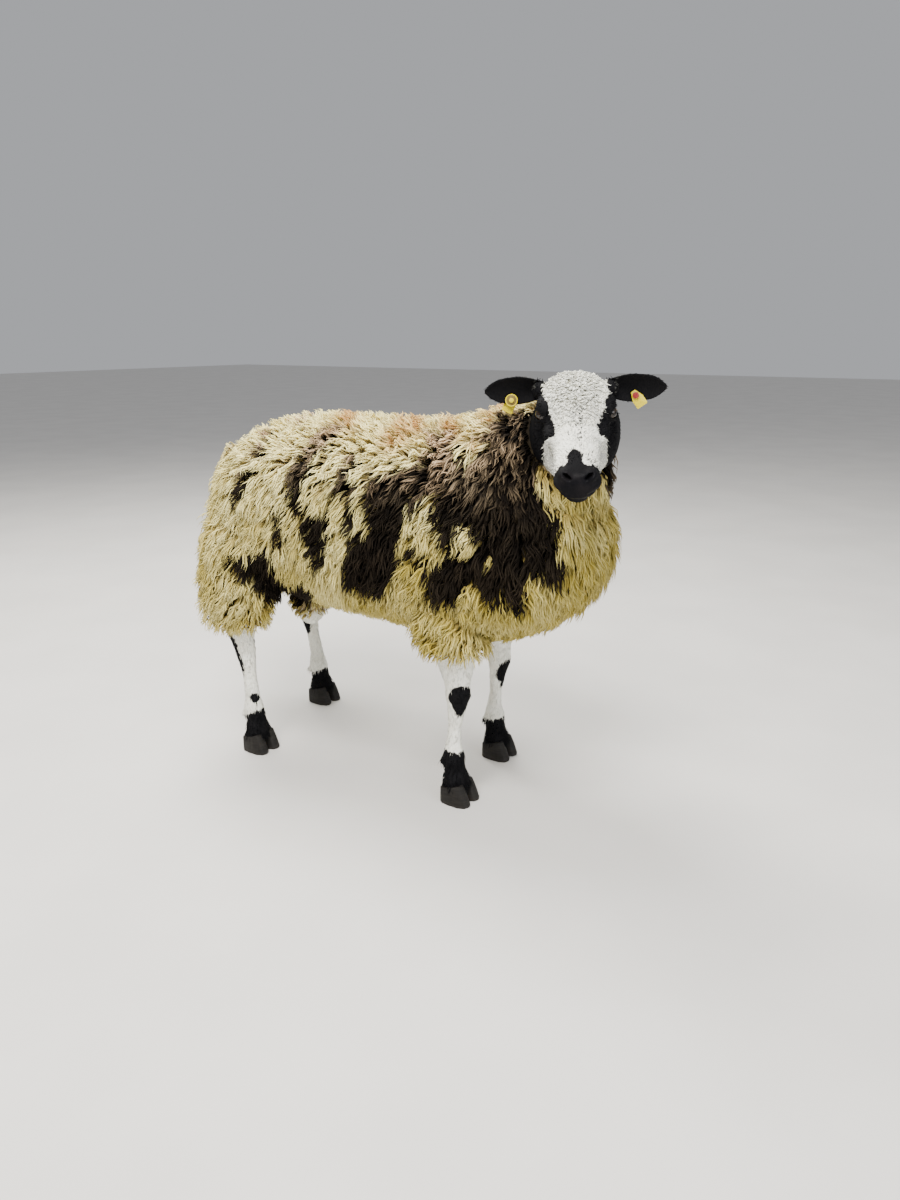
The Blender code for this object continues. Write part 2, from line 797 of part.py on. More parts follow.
def lid_cutter(side):
    """An almond-shaped bar that opens the lids."""
    facing = to_side(EYE_FACING, side)
    centre = to_side(EYE_PLACE, side)
    along = Vector((0.0, -1.0, -0.16))
    along = (along - facing * along.dot(facing)).normalized()
    up = along.cross(facing).normalized()
    count = 20
    rings = []
    for reach in (EYE_RADIUS * 0.35, EYE_RADIUS * 2.2):
        ring = []
        for k in range(count):
            angle = 2 * math.pi * k / count
            flat = math.copysign(abs(math.sin(angle)) ** 1.3, math.sin(angle))
            step = along * LID_OPENING[0] * math.cos(angle) + up * LID_OPENING[1] * flat
            ring.append(centre + facing * reach + step)
        rings.append(ring)
    return loft("lid_cutter", rings)


def mouth_cutter():
    """A thin band round the lips, open at the corners of the mouth."""
    reach = 0.03
    path = [(-x, y) for x, y in reversed(MOUTH_PATH[1:])] + list(MOUTH_PATH)
    corner_y = MOUTH_PATH[-1][1]
    front_y = MOUTH_PATH[0][1]
    rings = []
    for x, y in path:
        away = Vector((x, y - corner_y - 0.012, 0.0)).normalized()
        height = MOUTH_HEIGHT + MOUTH_RISE * (y - front_y) / (corner_y - front_y)
        inner = Vector((x, y, height))
        outer = inner + away * reach
        half = Vector((0.0, 0.0, MOUTH_WIDTH / 2))
        rings.append([inner - half, outer - half * 2.5, outer + half * 2.5, inner + half])
    return loft("mouth_cutter", rings)


def curls():
    """Small clumps of wool over the poll."""
    draw = random.Random(CURL_SEED)
    (middle_x, middle_y), (reach_x, reach_y) = CURL_PATCH
    made = []
    for k in range(CURLS):
        # Places on a spiral, which are spread evenly over the patch.
        turn = k * math.pi * (3 - math.sqrt(5))
        share = math.sqrt((k + 0.5) / CURLS)
        x = middle_x + reach_x * share * math.cos(turn)
        y = middle_y + reach_y * share * math.sin(turn)
        fall = (x / reach_x) ** 2 + 0.5 * ((y - middle_y) / reach_y) ** 2
        size = CURL_RADIUS * draw.uniform(0.8, 1.15)
        place = (x, y, CURL_HEIGHT - CURL_FALL * fall)
        made.append(ball("curl", place, (size, size * 1.2, size * 0.8), 10, 6))
    return made


def head_solid():
    pieces = [head_tube("skull", SKULL_STATIONS), head_tube("jaw", JAW_STATIONS)]
    pieces += mirrored_forms("form", HEAD_FORMS) + curls()
    head = melt("head", pieces, HEAD_VOXEL, 4)
    coarsen(head, HEAD_TRIANGLES)
    lids = []
    sockets = []
    for side in (-1, 1):
        place = to_side(EYE_PLACE, side)
        outer = EYE_RADIUS + LID_THICKNESS
        lids.append(ball("lid", place, (outer, outer, outer), EYE_SIDES, EYE_RINGS))
        inner = EYE_RADIUS + GAP
        sockets.append(ball("socket", place, (inner, inner, inner), EYE_SIDES, EYE_RINGS))
        sockets.append(lid_cutter(side))
        nostril = to_side(NOSTRIL_PLACE, side)
        turn = (NOSTRIL_TURN[0], NOSTRIL_TURN[1], side * NOSTRIL_TURN[2])
        sockets.append(ball("nostril", nostril, NOSTRIL_RADII, 10, 8, turn))
    boolean(head, lids, "UNION")
    for cutter in sockets + [mouth_cutter()]:
        boolean(head, [cutter], "DIFFERENCE")
    point, normal = HEAD_PLANE
    unit = normal.normalized()
    boolean(head, [half_space(point + unit * GAP / 2, normal)], "INTERSECT")
    return keep_largest(head)


def eye_ball(name, side):
    radii = (EYE_RADIUS, EYE_RADIUS, EYE_RADIUS)
    return ball(name, to_side(EYE_PLACE, side), radii, EYE_SIDES, EYE_RINGS)


def ear_frame():
    """Along the left ear, up across it, and the way its cup faces."""
    along = Vector((math.cos(EAR_BACK), math.sin(EAR_BACK), -math.sin(EAR_DROP))).normalized()
    up = (Vector((0, 0, 1)) - along * along.z).normalized()
    return along, up, along.cross(up).normalized()


def ear_point(share, half_width, depth, across):
    along, up, facing = ear_frame()
    middle = EAR_ROOT + along * EAR_LENGTH * share - up * EAR_TIP_DROP * share**2
    return middle + up * half_width * across - facing * depth * (1 - across * across)


def ear_solid(name, side):
    """A thin cup, split into triangles alike on both faces."""
    rows = len(EAR_ROWS)
    columns = EAR_ACROSS + 1
    grid = []
    for share, half_width, depth in EAR_ROWS:
        line = [-1 + 2 * j / EAR_ACROSS for j in range(columns)]
        grid.append([ear_point(share, half_width, depth, across) for across in line])
    front = []
    back = []
    for i in range(rows):
        for j in range(columns):
            step_along = grid[min(i + 1, rows - 1)][j] - grid[max(i - 1, 0)][j]
            step_across = grid[i][min(j + 1, columns - 1)] - grid[i][max(j - 1, 0)]
            normal = step_along.cross(step_across).normalized()
            edge = 0.55 if j in (0, columns - 1) else 1.0
            half = normal * EAR_THICKNESS / 2 * edge
            front.append(to_side(grid[i][j] + half, side))
            back.append(to_side(grid[i][j] - half, side))
    faces = []
    count = rows * columns
    for i in range(rows - 1):
        for j in range(columns - 1):
            a = i * columns + j
            b = a + 1
            c = a + columns + 1
            d = a + columns
            for shift in (0, count):
                faces.append((a + shift, b + shift, c + shift))
                faces.append((a + shift, c + shift, d + shift))
    rim = [j for j in range(columns)]
    rim += [i * columns + columns - 1 for i in range(1, rows)]
    rim += [(rows - 1) * columns + j for j in range(columns - 2, -1, -1)]
    rim += [i * columns for i in range(rows - 2, 0, -1)]
    for k in range(len(rim)):
        a = rim[k]
        b = rim[(k + 1) % len(rim)]
        faces.append((a, b, b + count))
        faces.append((a, b + count, a + count))
    return add_mesh(name, front + back, faces)


def tag_frame(side):
    """Where the stud goes through the ear, and the way the cup faces there."""
    lower, upper = EAR_ROWS[3], EAR_ROWS[4]
    mix = (TAG_SHARE - lower[0]) / (upper[0] - lower[0])
    half_width = lower[1] + (upper[1] - lower[1]) * mix
    depth = lower[2] + (upper[2] - lower[2]) * mix
    here = ear_point(TAG_SHARE, half_width, depth, TAG_ACROSS)
    _, _, facing = ear_frame()
    return to_side(here, side), to_side(facing, side)


def turned_solid(name, centre, axis, low, high, radius, sides=10):
    """A short cylinder along an axis, from low to high."""
    turn = axis.to_track_quat("Z", "Y").to_matrix()
    rings = []
    for reach in (low, high):
        ring = []
        for k in range(sides):
            angle = 2 * math.pi * k / sides
            step = turn @ Vector((radius * math.cos(angle), radius * math.sin(angle), reach))
            ring.append(centre + step)
        rings.append(ring)
    return loft(name, rings)


def flag_solid(centre, axis, low, high):
    """A flat plate that hangs below the stud, narrow at the top."""
    side = axis.cross(Vector((0, 0, 1))).normalized()
    up = side.cross(axis).normalized()
    outline = (
        (-0.40, FLAG_ABOVE),
        (0.40, FLAG_ABOVE),
        (0.70, 0.001),
        (1.0, -0.006),
        (1.0, -FLAG_BELOW + 0.003),
        (0.82, -FLAG_BELOW),
        (-0.82, -FLAG_BELOW),
        (-1.0, -FLAG_BELOW + 0.003),
        (-1.0, -0.006),
        (-0.70, 0.001),
    )
    rings = []
    for reach in (low, high):
        ring = []
        for across, height in outline:
            step = side * across * FLAG_HALF_WIDTH + up * height + axis * reach
            ring.append(centre + step)
        rings.append(ring)
    return loft("flag", rings)


def ear_tag(name, side, flag_in_front):
    """A disc and a flag on one stud, with the ear between them."""
    here, facing = tag_frame(side)
    front = 0.0050
    back = -0.0030
    if flag_in_front:
        flag = flag_solid(here, facing, front, front + TAG_PLATE)
        cap = turned_solid("cap", here, facing, front + TAG_PLATE * 0.5, front + 0.006, 0.0085)
        disc = turned_solid("disc", here, facing, back - TAG_PLATE, back, TAG_DISC_RADIUS)
        stud = turned_solid(name, here, facing, back - 0.001, front + 0.001, TAG_STUD_RADIUS)
        return boolean(stud, [flag, cap, disc], "UNION")
    flag = flag_solid(here, facing, back - TAG_PLATE, back)
    disc = turned_solid("disc", here, facing, front, front + TAG_PLATE, TAG_DISC_RADIUS)
    cap = turned_solid("cap", here, facing, front + TAG_PLATE * 0.5, front + 0.006, 0.0065)
    stud = turned_solid(name, here, facing, back - 0.001, front + 0.001, TAG_STUD_RADIUS)
    return boolean(stud, [flag, cap, disc], "UNION")


def head_group():
    """Head, eyes, ears and tags, set on the neck."""
    head = head_solid()
    made = [head]
    for side, word in ((-1, "right"), (1, "left")):
        made.append(eye_ball(f"eye_{word}", side))
        ear = ear_solid(f"ear_{word}", side)
        here, facing = tag_frame(side)
        hole = TAG_STUD_RADIUS + TAG_HOLE_ROOM
        boolean(ear, [turned_solid("hole", here, facing, -0.02, 0.02, hole)], "DIFFERENCE")
        clear_of(ear, [head])
        tag = ear_tag(f"ear_tag_{word}", side, side > 0)
        made += [ear, clear_of(tag, [ear])]
    frame = head_matrix()
    for obj in made:
        obj.data.transform(frame)
    return made


def body_group():
    """Torso, neck and legs, parted from one skin."""
    body = set_locks(body_core(), LOCK_SPREAD, 1.0, carries_fleece)
    boolean(body, dew_claws(), "UNION", "MANIFOLD")
    neck_point, neck_normal = NECK_PLANE
    neck_unit = neck_normal.normalized()
    hind_point, hind_normal = HIND_PLANE
    hind_unit = hind_normal.normalized()
    made = []
    over_neck = half_space(neck_point, neck_normal)
    made.append(part_of(body, "neck", keep=(over_neck,), leave=(head_room(GAP),)))
    for leg, stations, side, back in LEGS:
        rows = leg_rows(stations, side, back)
        sole = half_space(*coronet(rows, 0.0))
        if leg.startswith("fore"):
            made.append(part_of(body, f"leg_{leg}", keep=(fore_box(side, 0.0), sole)))
            continue
        below = half_space(hind_point, hind_normal)
        flank = half_space((side * GAP / 2, 0, 0), (side, 0, 0))
        rear = half_space((0, 0.02, 0), (0, 1, 0))
        made.append(part_of(body, f"leg_{leg}", keep=(below, flank, rear, sole)))
    neck_side = half_space(neck_point, neck_normal, GAP)
    torso = part_of(body, "torso", leave=(neck_side,))
    for side in (-1, 1):
        boolean(torso, [fore_box(side, GAP)], "DIFFERENCE", "MANIFOLD")
    hind = half_space(hind_point - hind_unit * GAP, hind_normal)
    boolean(hind, [half_space((0, 0.02 - GAP, 0), (0, 1, 0))], "INTERSECT")
    boolean(torso, [hind], "DIFFERENCE", "MANIFOLD")
    made.append(keep_largest(torso))
    beside = [torso] + [node for node in made if node.name.startswith("leg_hind")]
    tail = bent_tube("tail", TAIL_STATIONS, TAIL_SIDES, Vector((0, 1, 0.3)))
    set_locks(tail, TAIL_LOCK_SPREAD, TAIL_LOCK_SIZE, on_tail)
    made.append(clear_of(tail, beside))
    scrotum = ball("scrotum", SCROTUM_CENTRE, SCROTUM_RADII, 14, 10)
    made.append(clear_of(scrotum, beside))
    remove([body])
    return made


def centre(objects):
    """Brings the middle of the whole box over the origin."""
    corners = [v.co for obj in objects for v in obj.data.vertices]
    shift = Vector()
    for axis in (0, 1):
        values = [corner[axis] for corner in corners]
        shift[axis] = -(min(values) + max(values)) / 2
    for obj in objects:
        obj.data.transform(Matrix.Translation(shift))


def material_of(name):
    colours = (
        ("claw", "horn"),
        ("ear_tag", "tag"),
        ("ear", "ear"),
        ("eye", "eye"),
        ("head", "hair"),
    )
    for start, word in colours:
        if name.startswith(start):
            return word
    return "fleece"


def paint(objects):
    for obj in objects:
        word = material_of(obj.name)
        colour, roughness = COLOURS[word]
        material = bpy.data.materials.new(f"{obj.name}_{word}")
        material.use_nodes = True
        shader = material.node_tree.nodes["Principled BSDF"]
        shader.inputs["Base Color"].default_value = colour
        shader.inputs["Roughness"].default_value = roughness
        shader.inputs["Metallic"].default_value = 0.0
        obj.data.materials.clear()
        obj.data.materials.append(material)


def main():
    clear_scene()
    nodes = body_group() + head_group() + claws()
    neck = next(node for node in nodes if node.name == "neck")
    clear_of(neck, [node for node in nodes if node.name.startswith("ear")])
    for node in nodes:
        sound(node)
    centre(nodes)
    paint(nodes)


main()
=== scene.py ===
"""Looks of a Dutch spotted ram lamb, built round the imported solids.

Lengths are in metres. The ram stands along Y with its chest at -Y, and its right side is -X.
"""

import math
from types import SimpleNamespace

import bmesh
import bpy
import numpy as np
from mathutils import Matrix, Vector
from mathutils.bvhtree import BVHTree
from mathutils.kdtree import KDTree


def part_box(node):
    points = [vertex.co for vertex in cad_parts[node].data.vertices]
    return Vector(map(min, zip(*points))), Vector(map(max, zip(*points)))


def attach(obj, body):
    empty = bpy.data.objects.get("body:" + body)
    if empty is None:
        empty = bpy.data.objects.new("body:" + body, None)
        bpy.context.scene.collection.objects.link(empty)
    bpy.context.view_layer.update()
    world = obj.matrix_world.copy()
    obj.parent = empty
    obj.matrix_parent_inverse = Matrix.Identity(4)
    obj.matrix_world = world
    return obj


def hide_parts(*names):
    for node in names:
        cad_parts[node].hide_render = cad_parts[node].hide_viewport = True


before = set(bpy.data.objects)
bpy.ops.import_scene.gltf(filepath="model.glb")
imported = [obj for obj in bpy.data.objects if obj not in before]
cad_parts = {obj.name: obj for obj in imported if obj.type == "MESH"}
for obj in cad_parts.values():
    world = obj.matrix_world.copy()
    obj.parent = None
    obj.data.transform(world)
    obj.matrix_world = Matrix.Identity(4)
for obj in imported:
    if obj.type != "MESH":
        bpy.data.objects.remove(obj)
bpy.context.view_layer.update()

bl_info = {
    "name": "Dutch spotted ram lamb",
    "version": (1, 0, 0),
    "blender": (4, 5, 0),
    "location": "View3D > Sidebar > Ram",
    "description": "Skin, fleece, face, hooves and ear tags of a standing ram lamb",
    "category": "Object",
}

BODY = "root"
SIDES = ((-1, "right"), (1, "left"))
# Room between an eyeball and its socket.
GAP = 0.0003
# A point of the skin this near to the head's own form belongs to the head.
HEAD_TOUCH = 0.0004
TUBE_SIDES = 32
LEG_SIDES = 24
# How forms melt together: the size of the voxels, and how often the result is smoothed.
UPPER_MELT = (0.010, 10)
BODY_MELT = (0.0061, 3)
HEAD_MELT = (0.0025, 5)
CUT_HEAD_MELT = (0.0021, 1)
# How far the skin lies under the short hair, and how much further under the wool.
HAIR_INSET = 0.0012
WOOL_INSET = 0.010

# The solids are centred over the origin. The stations below are not, so what is made from them
# is moved by the difference, which is read from a corner of one claw.
CLAW_CORNER = Vector((-0.1105, -0.2550, 0.0))
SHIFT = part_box("claw_fore_right_inner")[0] - CLAW_CORNER
SHIFT.z = 0.0

# Trunk: y, the height of the back, the height of the belly and the half width.
TRUNK_STATIONS = (
    (-0.450, 0.590, 0.510, 0.050),
    (-0.425, 0.640, 0.445, 0.100),
    (-0.370, 0.695, 0.385, 0.140),
    (-0.280, 0.730, 0.350, 0.162),
    (-0.170, 0.736, 0.345, 0.168),
    (-0.040, 0.730, 0.350, 0.172),
    (0.090, 0.732, 0.355, 0.174),
    (0.210, 0.730, 0.366, 0.172),
    (0.295, 0.712, 0.385, 0.160),
    (0.365, 0.686, 0.410, 0.142),
    (0.420, 0.645, 0.445, 0.112),
    (0.452, 0.585, 0.500, 0.052),
)
TRUNK_SQUARENESS = 2.25
TRUNK_WIDEST = 0.46

# Neck along its bend to the right: centre, half width and half depth.
NECK_STATIONS = (
    ((0.000, -0.170, 0.530), 0.120, 0.160),
    ((0.000, -0.270, 0.620), 0.128, 0.160),
    ((-0.014, -0.335, 0.675), 0.106, 0.130),
    ((-0.032, -0.378, 0.722), 0.086, 0.104),
    ((-0.052, -0.406, 0.762), 0.068, 0.080),
    ((-0.070, -0.425, 0.790), 0.046, 0.056),
)
NECK_FRONT = Vector((0.0, -1.0, 0.2))

# Right legs from the top down: centre, half width across and half depth along the body.
FORE_STATIONS = (
    ((-0.100, -0.200, 0.430), 0.052, 0.062),
    ((-0.106, -0.203, 0.370), 0.047, 0.056),
    ((-0.110, -0.208, 0.320), 0.040, 0.046),
    ((-0.112, -0.212, 0.285), 0.031, 0.036),
    ((-0.112, -0.215, 0.255), 0.0240, 0.0270),
    ((-0.112, -0.217, 0.232), 0.0255, 0.0275),
    ((-0.112, -0.214, 0.205), 0.0182, 0.0208),
    ((-0.112, -0.209, 0.160), 0.0125, 0.0152),
    ((-0.112, -0.206, 0.124), 0.0142, 0.0175),
    ((-0.112, -0.207, 0.102), 0.0220, 0.0240),
    ((-0.112, -0.209, 0.074), 0.0205, 0.0215),
    ((-0.112, -0.213, 0.050), 0.0305, 0.0265),
    ((-0.112, -0.215, 0.030), 0.0315, 0.0265),
)
HIND_STATIONS = (
    ((-0.108, 0.325, 0.540), 0.062, 0.095),
    ((-0.118, 0.327, 0.460), 0.066, 0.100),
    ((-0.135, 0.336, 0.390), 0.058, 0.088),
    ((-0.147, 0.345, 0.330), 0.048, 0.066),
    ((-0.150, 0.340, 0.293), 0.034, 0.040),
    ((-0.150, 0.333, 0.266), 0.0255, 0.0310),
    ((-0.150, 0.325, 0.236), 0.0215, 0.0270),
    ((-0.150, 0.316, 0.180), 0.0143, 0.0182),
    ((-0.150, 0.311, 0.128), 0.0156, 0.0198),
    ((-0.150, 0.309, 0.100), 0.0222, 0.0245),
    ((-0.150, 0.304, 0.073), 0.0205, 0.0220),
    ((-0.150, 0.301, 0.050), 0.0305, 0.0265),
    ((-0.150, 0.300, 0.030), 0.0315, 0.0265),
)
LEFT_FORE_BACK = 0.031
LEFT_HIND_BACK = 0.061
# The left hind leg leans back: how far in all, between these heights.
LEFT_HIND_LEAN = 0.012
LEAN_HEIGHTS = (0.100, 0.240)
# Between these heights the left thigh comes forward into the rump, by this share.
THIGH_HEIGHTS = (0.330, 0.540)
THIGH_FORWARD = 0.68
# Each leg: its name, stations, side, how far it stands back, and its lean.
LEGS = (
    ("fore_right", FORE_STATIONS, -1, 0.0, 0.0),
    ("fore_left", FORE_STATIONS, 1, LEFT_FORE_BACK, 0.0),
    ("hind_right", HIND_STATIONS, -1, 0.0, 0.0),
    ("hind_left", HIND_STATIONS, 1, LEFT_HIND_BACK, LEFT_HIND_LEAN),
)
# The row of stations at the fetlock, behind which the dew claws sit.
FETLOCK_ROW = 9
DEW_CLAW_HEIGHT = 0.084
DEW_CLAW_APART = 0.011
DEW_CLAW_RADII = (0.0070, 0.0070, 0.0105)
# How far the edges of the hooves are rounded.
HOOF_EDGE = 0.0018

# Tail and scrotum.
TAIL_STATIONS = (
    ((0.000, 0.440, 0.660), 0.032, 0.028),
    ((0.000, 0.478, 0.642), 0.034, 0.028),
    ((0.000, 0.502, 0.595), 0.034, 0.026),
    ((0.000, 0.506, 0.530), 0.032, 0.024),
    ((0.000, 0.500, 0.465), 0.026, 0.020),
    ((0.000, 0.492, 0.430), 0.012, 0.010),
)
TAIL_FRONT = Vector((0.0, 1.0, 0.3))
SCROTUM_CENTRE = (0.000, 0.255, 0.335)
SCROTUM_RADII = (0.043, 0.039, 0.067)
# The fleece is shorter within these radii of the scrotum's centre.
SCROTUM_CLEARING = (0.075, 0.075, 0.10)

# Head, in its own frame: the muzzle is at -Y, the forehead is up and the left side is +X.
HEAD_PLACE = (-0.0666, -0.4245, 0.8116)
HEAD_TURN = math.radians(-63.0)
HEAD_NOD = math.radians(24.0)
HEAD_TILT = math.radians(-2.0)
# Skull and jaw: y, height of the middle, half width and half height.
SKULL_STATIONS = (
    (0.055, -0.016, 0.034, 0.032),
    (0.032, -0.010, 0.054, 0.040),
    (0.000, -0.005, 0.063, 0.041),
    (-0.035, -0.004, 0.063, 0.040),
    (-0.065, -0.006, 0.057, 0.039),
    (-0.100, -0.014, 0.045, 0.036),
    (-0.140, -0.023, 0.037, 0.034),
    (-0.175, -0.031, 0.036, 0.031),
    (-0.200, -0.037, 0.035, 0.027),
    (-0.216, -0.041, 0.029, 0.021),
    (-0.224, -0.043, 0.016, 0.012),
)
JAW_STATIONS = (
    (0.022, -0.076, 0.050, 0.040),
    (-0.015, -0.085, 0.062, 0.043),
    (-0.055, -0.083, 0.057, 0.037),
    (-0.100, -0.076, 0.041, 0.028),
    (-0.140, -0.070, 0.031, 0.020),
    (-0.180, -0.067, 0.025, 0.016),
    (-0.203, -0.065, 0.017, 0.012),
    (-0.211, -0.064, 0.011, 0.007),
)
HEAD_SQUARENESS = 2.3
# Rounded forms of the head: centre and radii. Each one off the middle is made on both sides.
HEAD_FORMS = (
    # Cheek muscle
    ((0.047, -0.010, -0.062), (0.033, 0.056, 0.062)),
    # Brow over the eye
    ((0.049, -0.050, 0.016), (0.018, 0.026, 0.016)),
    # Cheek bone
    ((0.043, -0.088, -0.012), (0.012, 0.034, 0.017)),
    # Woolly poll
    ((0.000, 0.000, 0.009), (0.045, 0.044, 0.022)),
    # Wing of the nostril
    ((0.019, -0.203, -0.024), (0.013, 0.018, 0.012)),
    # Upper lip
    ((0.020, -0.199, -0.038), (0.019, 0.023, 0.013)),
    # Chin
    ((0.000, -0.194, -0.060), (0.018, 0.020, 0.015)),
    # Base of the ear
    ((0.060, 0.014, 0.012), (0.014, 0.016, 0.015)),
)
EYE_PLACE = Vector((0.0545, -0.0600, 0.0060))
EYE_FACING = Vector((0.86, -0.46, 0.20)).normalized()
# The way in which the lids and the pupil are long.
EYE_SLIT = Vector((0.0, -1.0, -0.16))
LID_THICKNESS = 0.0024
LID_OPENING = (0.0128, 0.0072)
# Half width and half height of the pupil, as shares of the eye's radius.
PUPIL = (0.46, 0.17)
NOSTRIL_PLACE = (0.0170, -0.2140, -0.0205)
NOSTRIL_RADII = (0.0092, 0.0120, 0.0034)
NOSTRIL_SLANT = math.radians(36.0)
MOUTH_PATH = ((0.0, -0.2155), (0.012, -0.2115), (0.022, -0.200), (0.0275, -0.180), (0.029, -0.160))
MOUTH_HEIGHT = -0.0490
MOUTH_RISE = 0.0060
MOUTH_WIDTH = 0.0020

# Ear: rows along it hold the share of its length, the half width and the depth of the cup.
EAR_ROOT = Vector((0.052, 0.016, 0.012))
EAR_LENGTH = 0.106
EAR_ROWS = (
    (0.00, 0.0140, 0.0110),
    (0.12, 0.0185, 0.0135),
    (0.28, 0.0240, 0.0130),
    (0.45, 0.0265, 0.0110),
    (0.62, 0.0250, 0.0085),
    (0.78, 0.0215, 0.0056),
    (0.91, 0.0132, 0.0026),
    (1.00, 0.0026, 0.0004),
)
EAR_THICKNESS = 0.0026
EAR_BACK = math.radians(4.0)
EAR_DROP = math.radians(4.0)
EAR_TIP_RISE = 0.001

# Ear tags. Where each sits, as shares along and across the ear.
TAG_PLACES = {"right": (0.57, -0.78), "left": (0.52, -0.66)}
# Flags: the two ends along the stud, the turn about it, and the outline.
TAG_FLAGS = {
    "right": (-0.0050, -0.0032, math.radians(-24.0)),
    "left": (0.0036, 0.0054, math.radians(36.0)),
}
FLAG_OUTLINE = (
    (-0.0042, 0.0090), (0.0042, 0.0090), (0.0072, 0.0010), (0.0102, -0.0060),
    (0.0102, -0.0205), (0.0088, -0.0222), (-0.0088, -0.0222), (-0.0102, -0.0205),
    (-0.0102, -0.0060), (-0.0072, 0.0010),
)
# Discs: the two ends along the stud, the radius and the number of sides.
STUD_DISC = (-0.0036, 0.0046, 0.0023, 16)
TAG_DISCS = {
    "right": ((0.0036, 0.0050, 0.0112, 48), (0.0048, 0.0090, 0.0042, 32)),
    "left": ((-0.0052, -0.0032, 0.0112, 48), (-0.0066, -0.0050, 0.0060, 32)),
}
# The disc of another colour on each tag, with its name. The right tag's dish is darker for dirt and
# for painted shade in its hollow.
TAG_FACES = {
    "right": ("tag_dish", (0.0046, 0.0055, 0.0096, 48)),
    "left": ("tag_button", (0.0052, 0.0088, 0.0056, 40)),
}
TAG_RIM_PLACE = 0.0054

# Heights between which the wool thins out on the legs and grows shorter on the upper neck.
FORE_FLEECE_END = (0.310, 0.375)
HIND_FLEECE_END = (0.285, 0.350)
POLL_FLEECE_END = (0.780, 0.840)
# Up to this share of wool, the marks of the legs count and not the patches of the fleece.
FLEECE_EDGE = 0.12
# The way in which wool hangs, and how it hangs on the chest.
LIE = (0.0, 0.42, -0.90)
CHEST_LIE = (0.0, 0.10, -1.0)

# Dark patches of the side that the camera sees. A patch's first coordinate runs forward along
# the ram, its second is the height.
SEEN_WAY = (0.532, -0.847)
SEEN_PATCHES = (
    # Spot and streak on the rump
    ((-0.300, 0.720), (-0.280, 0.725), (-0.290, 0.673), (-0.328, 0.673), (-0.300, 0.704)),
    ((-0.340, 0.640), (-0.328, 0.640), (-0.330, 0.590), (-0.353, 0.558), (-0.355, 0.600)),
    # Small spot on the back
    ((-0.240, 0.745), (-0.220, 0.751), (-0.190, 0.757), (-0.210, 0.744)),
    # Long stripe from the back to the belly
    (
        (-0.110, 0.745), (-0.120, 0.725), (-0.165, 0.690), (-0.180, 0.660), (-0.193, 0.590),
        (-0.180, 0.573), (-0.155, 0.573), (-0.130, 0.598), (-0.140, 0.555), (-0.136, 0.520),
        (-0.150, 0.465), (-0.166, 0.450), (-0.180, 0.470), (-0.180, 0.500), (-0.190, 0.530),
        (-0.195, 0.570), (-0.220, 0.570), (-0.225, 0.600), (-0.220, 0.655), (-0.190, 0.700),
        (-0.180, 0.720), (-0.146, 0.745),
    ),
    # Spots behind it
    (
        (-0.265, 0.580), (-0.234, 0.567), (-0.235, 0.496), (-0.262, 0.496), (-0.247, 0.535),
        (-0.260, 0.553),
    ),
    # Second stripe
    (
        (-0.095, 0.700), (-0.083, 0.690), (-0.100, 0.660), (-0.085, 0.643), (-0.078, 0.585),
        (-0.083, 0.540), (-0.098, 0.528), (-0.103, 0.585), (-0.130, 0.620), (-0.115, 0.655),
    ),
    # Flank
    (
        (-0.066, 0.620), (-0.060, 0.645), (0.005, 0.672), (0.026, 0.630), (0.016, 0.575),
        (0.016, 0.545), (0.008, 0.500), (-0.012, 0.445), (-0.018, 0.420), (-0.060, 0.422),
        (-0.107, 0.430), (-0.110, 0.452), (-0.093, 0.517), (-0.096, 0.542), (-0.054, 0.552),
    ),
    # Thigh; its lower tip by the left hind leg is partly a black patch, partly painted shade under
    # the belly
    (
        (-0.377, 0.465), (-0.358, 0.470), (-0.324, 0.455), (-0.280, 0.485), (-0.268, 0.475),
        (-0.268, 0.445), (-0.244, 0.420), (-0.236, 0.397), (-0.200, 0.427), (-0.178, 0.405),
        (-0.212, 0.320), (-0.252, 0.322), (-0.306, 0.378), (-0.317, 0.406), (-0.345, 0.410),
        (-0.380, 0.452),
    ),
    # Shoulder and neck
    (
        (-0.002, 0.676), (0.040, 0.684), (0.036, 0.700), (0.062, 0.720), (0.058, 0.739),
        (0.100, 0.750), (0.114, 0.746), (0.104, 0.730), (0.110, 0.700), (0.132, 0.678),
        (0.157, 0.717), (0.145, 0.737), (0.193, 0.782), (0.225, 0.790), (0.275, 0.780),
        (0.280, 0.705), (0.257, 0.650), (0.273, 0.637), (0.284, 0.600), (0.312, 0.573),
        (0.298, 0.545), (0.303, 0.524), (0.322, 0.520), (0.332, 0.505), (0.324, 0.476),
        (0.292, 0.480), (0.250, 0.502), (0.241, 0.487), (0.243, 0.424), (0.235, 0.413),
        (0.218, 0.442), (0.178, 0.438), (0.164, 0.462), (0.149, 0.470), (0.127, 0.462),
        (0.112, 0.425), (0.084, 0.422), (0.053, 0.427), (0.064, 0.472), (0.037, 0.500),
        (0.023, 0.502), (0.017, 0.547), (0.028, 0.600), (0.013, 0.620),
    ),
    # Neck on the far side of the head
    (
        (0.397, 0.635), (0.415, 0.620), (0.440, 0.660), (0.440, 0.780), (0.370, 0.780),
        (0.385, 0.700),
    ),
)
# Cream islands in the shoulder patch.
SEEN_ISLANDS = (
    (
        (0.047, 0.625), (0.062, 0.622), (0.066, 0.600), (0.090, 0.540), (0.094, 0.520),
        (0.070, 0.510), (0.053, 0.489), (0.045, 0.514), (0.036, 0.513), (0.044, 0.542),
        (0.006, 0.520), (0.014, 0.557), (0.038, 0.602),
    ),
    (
        (0.117, 0.584), (0.135, 0.590), (0.140, 0.570), (0.157, 0.543), (0.181, 0.527),
        (0.172, 0.520), (0.146, 0.534), (0.123, 0.530), (0.103, 0.540), (0.117, 0.557),
    ),
)
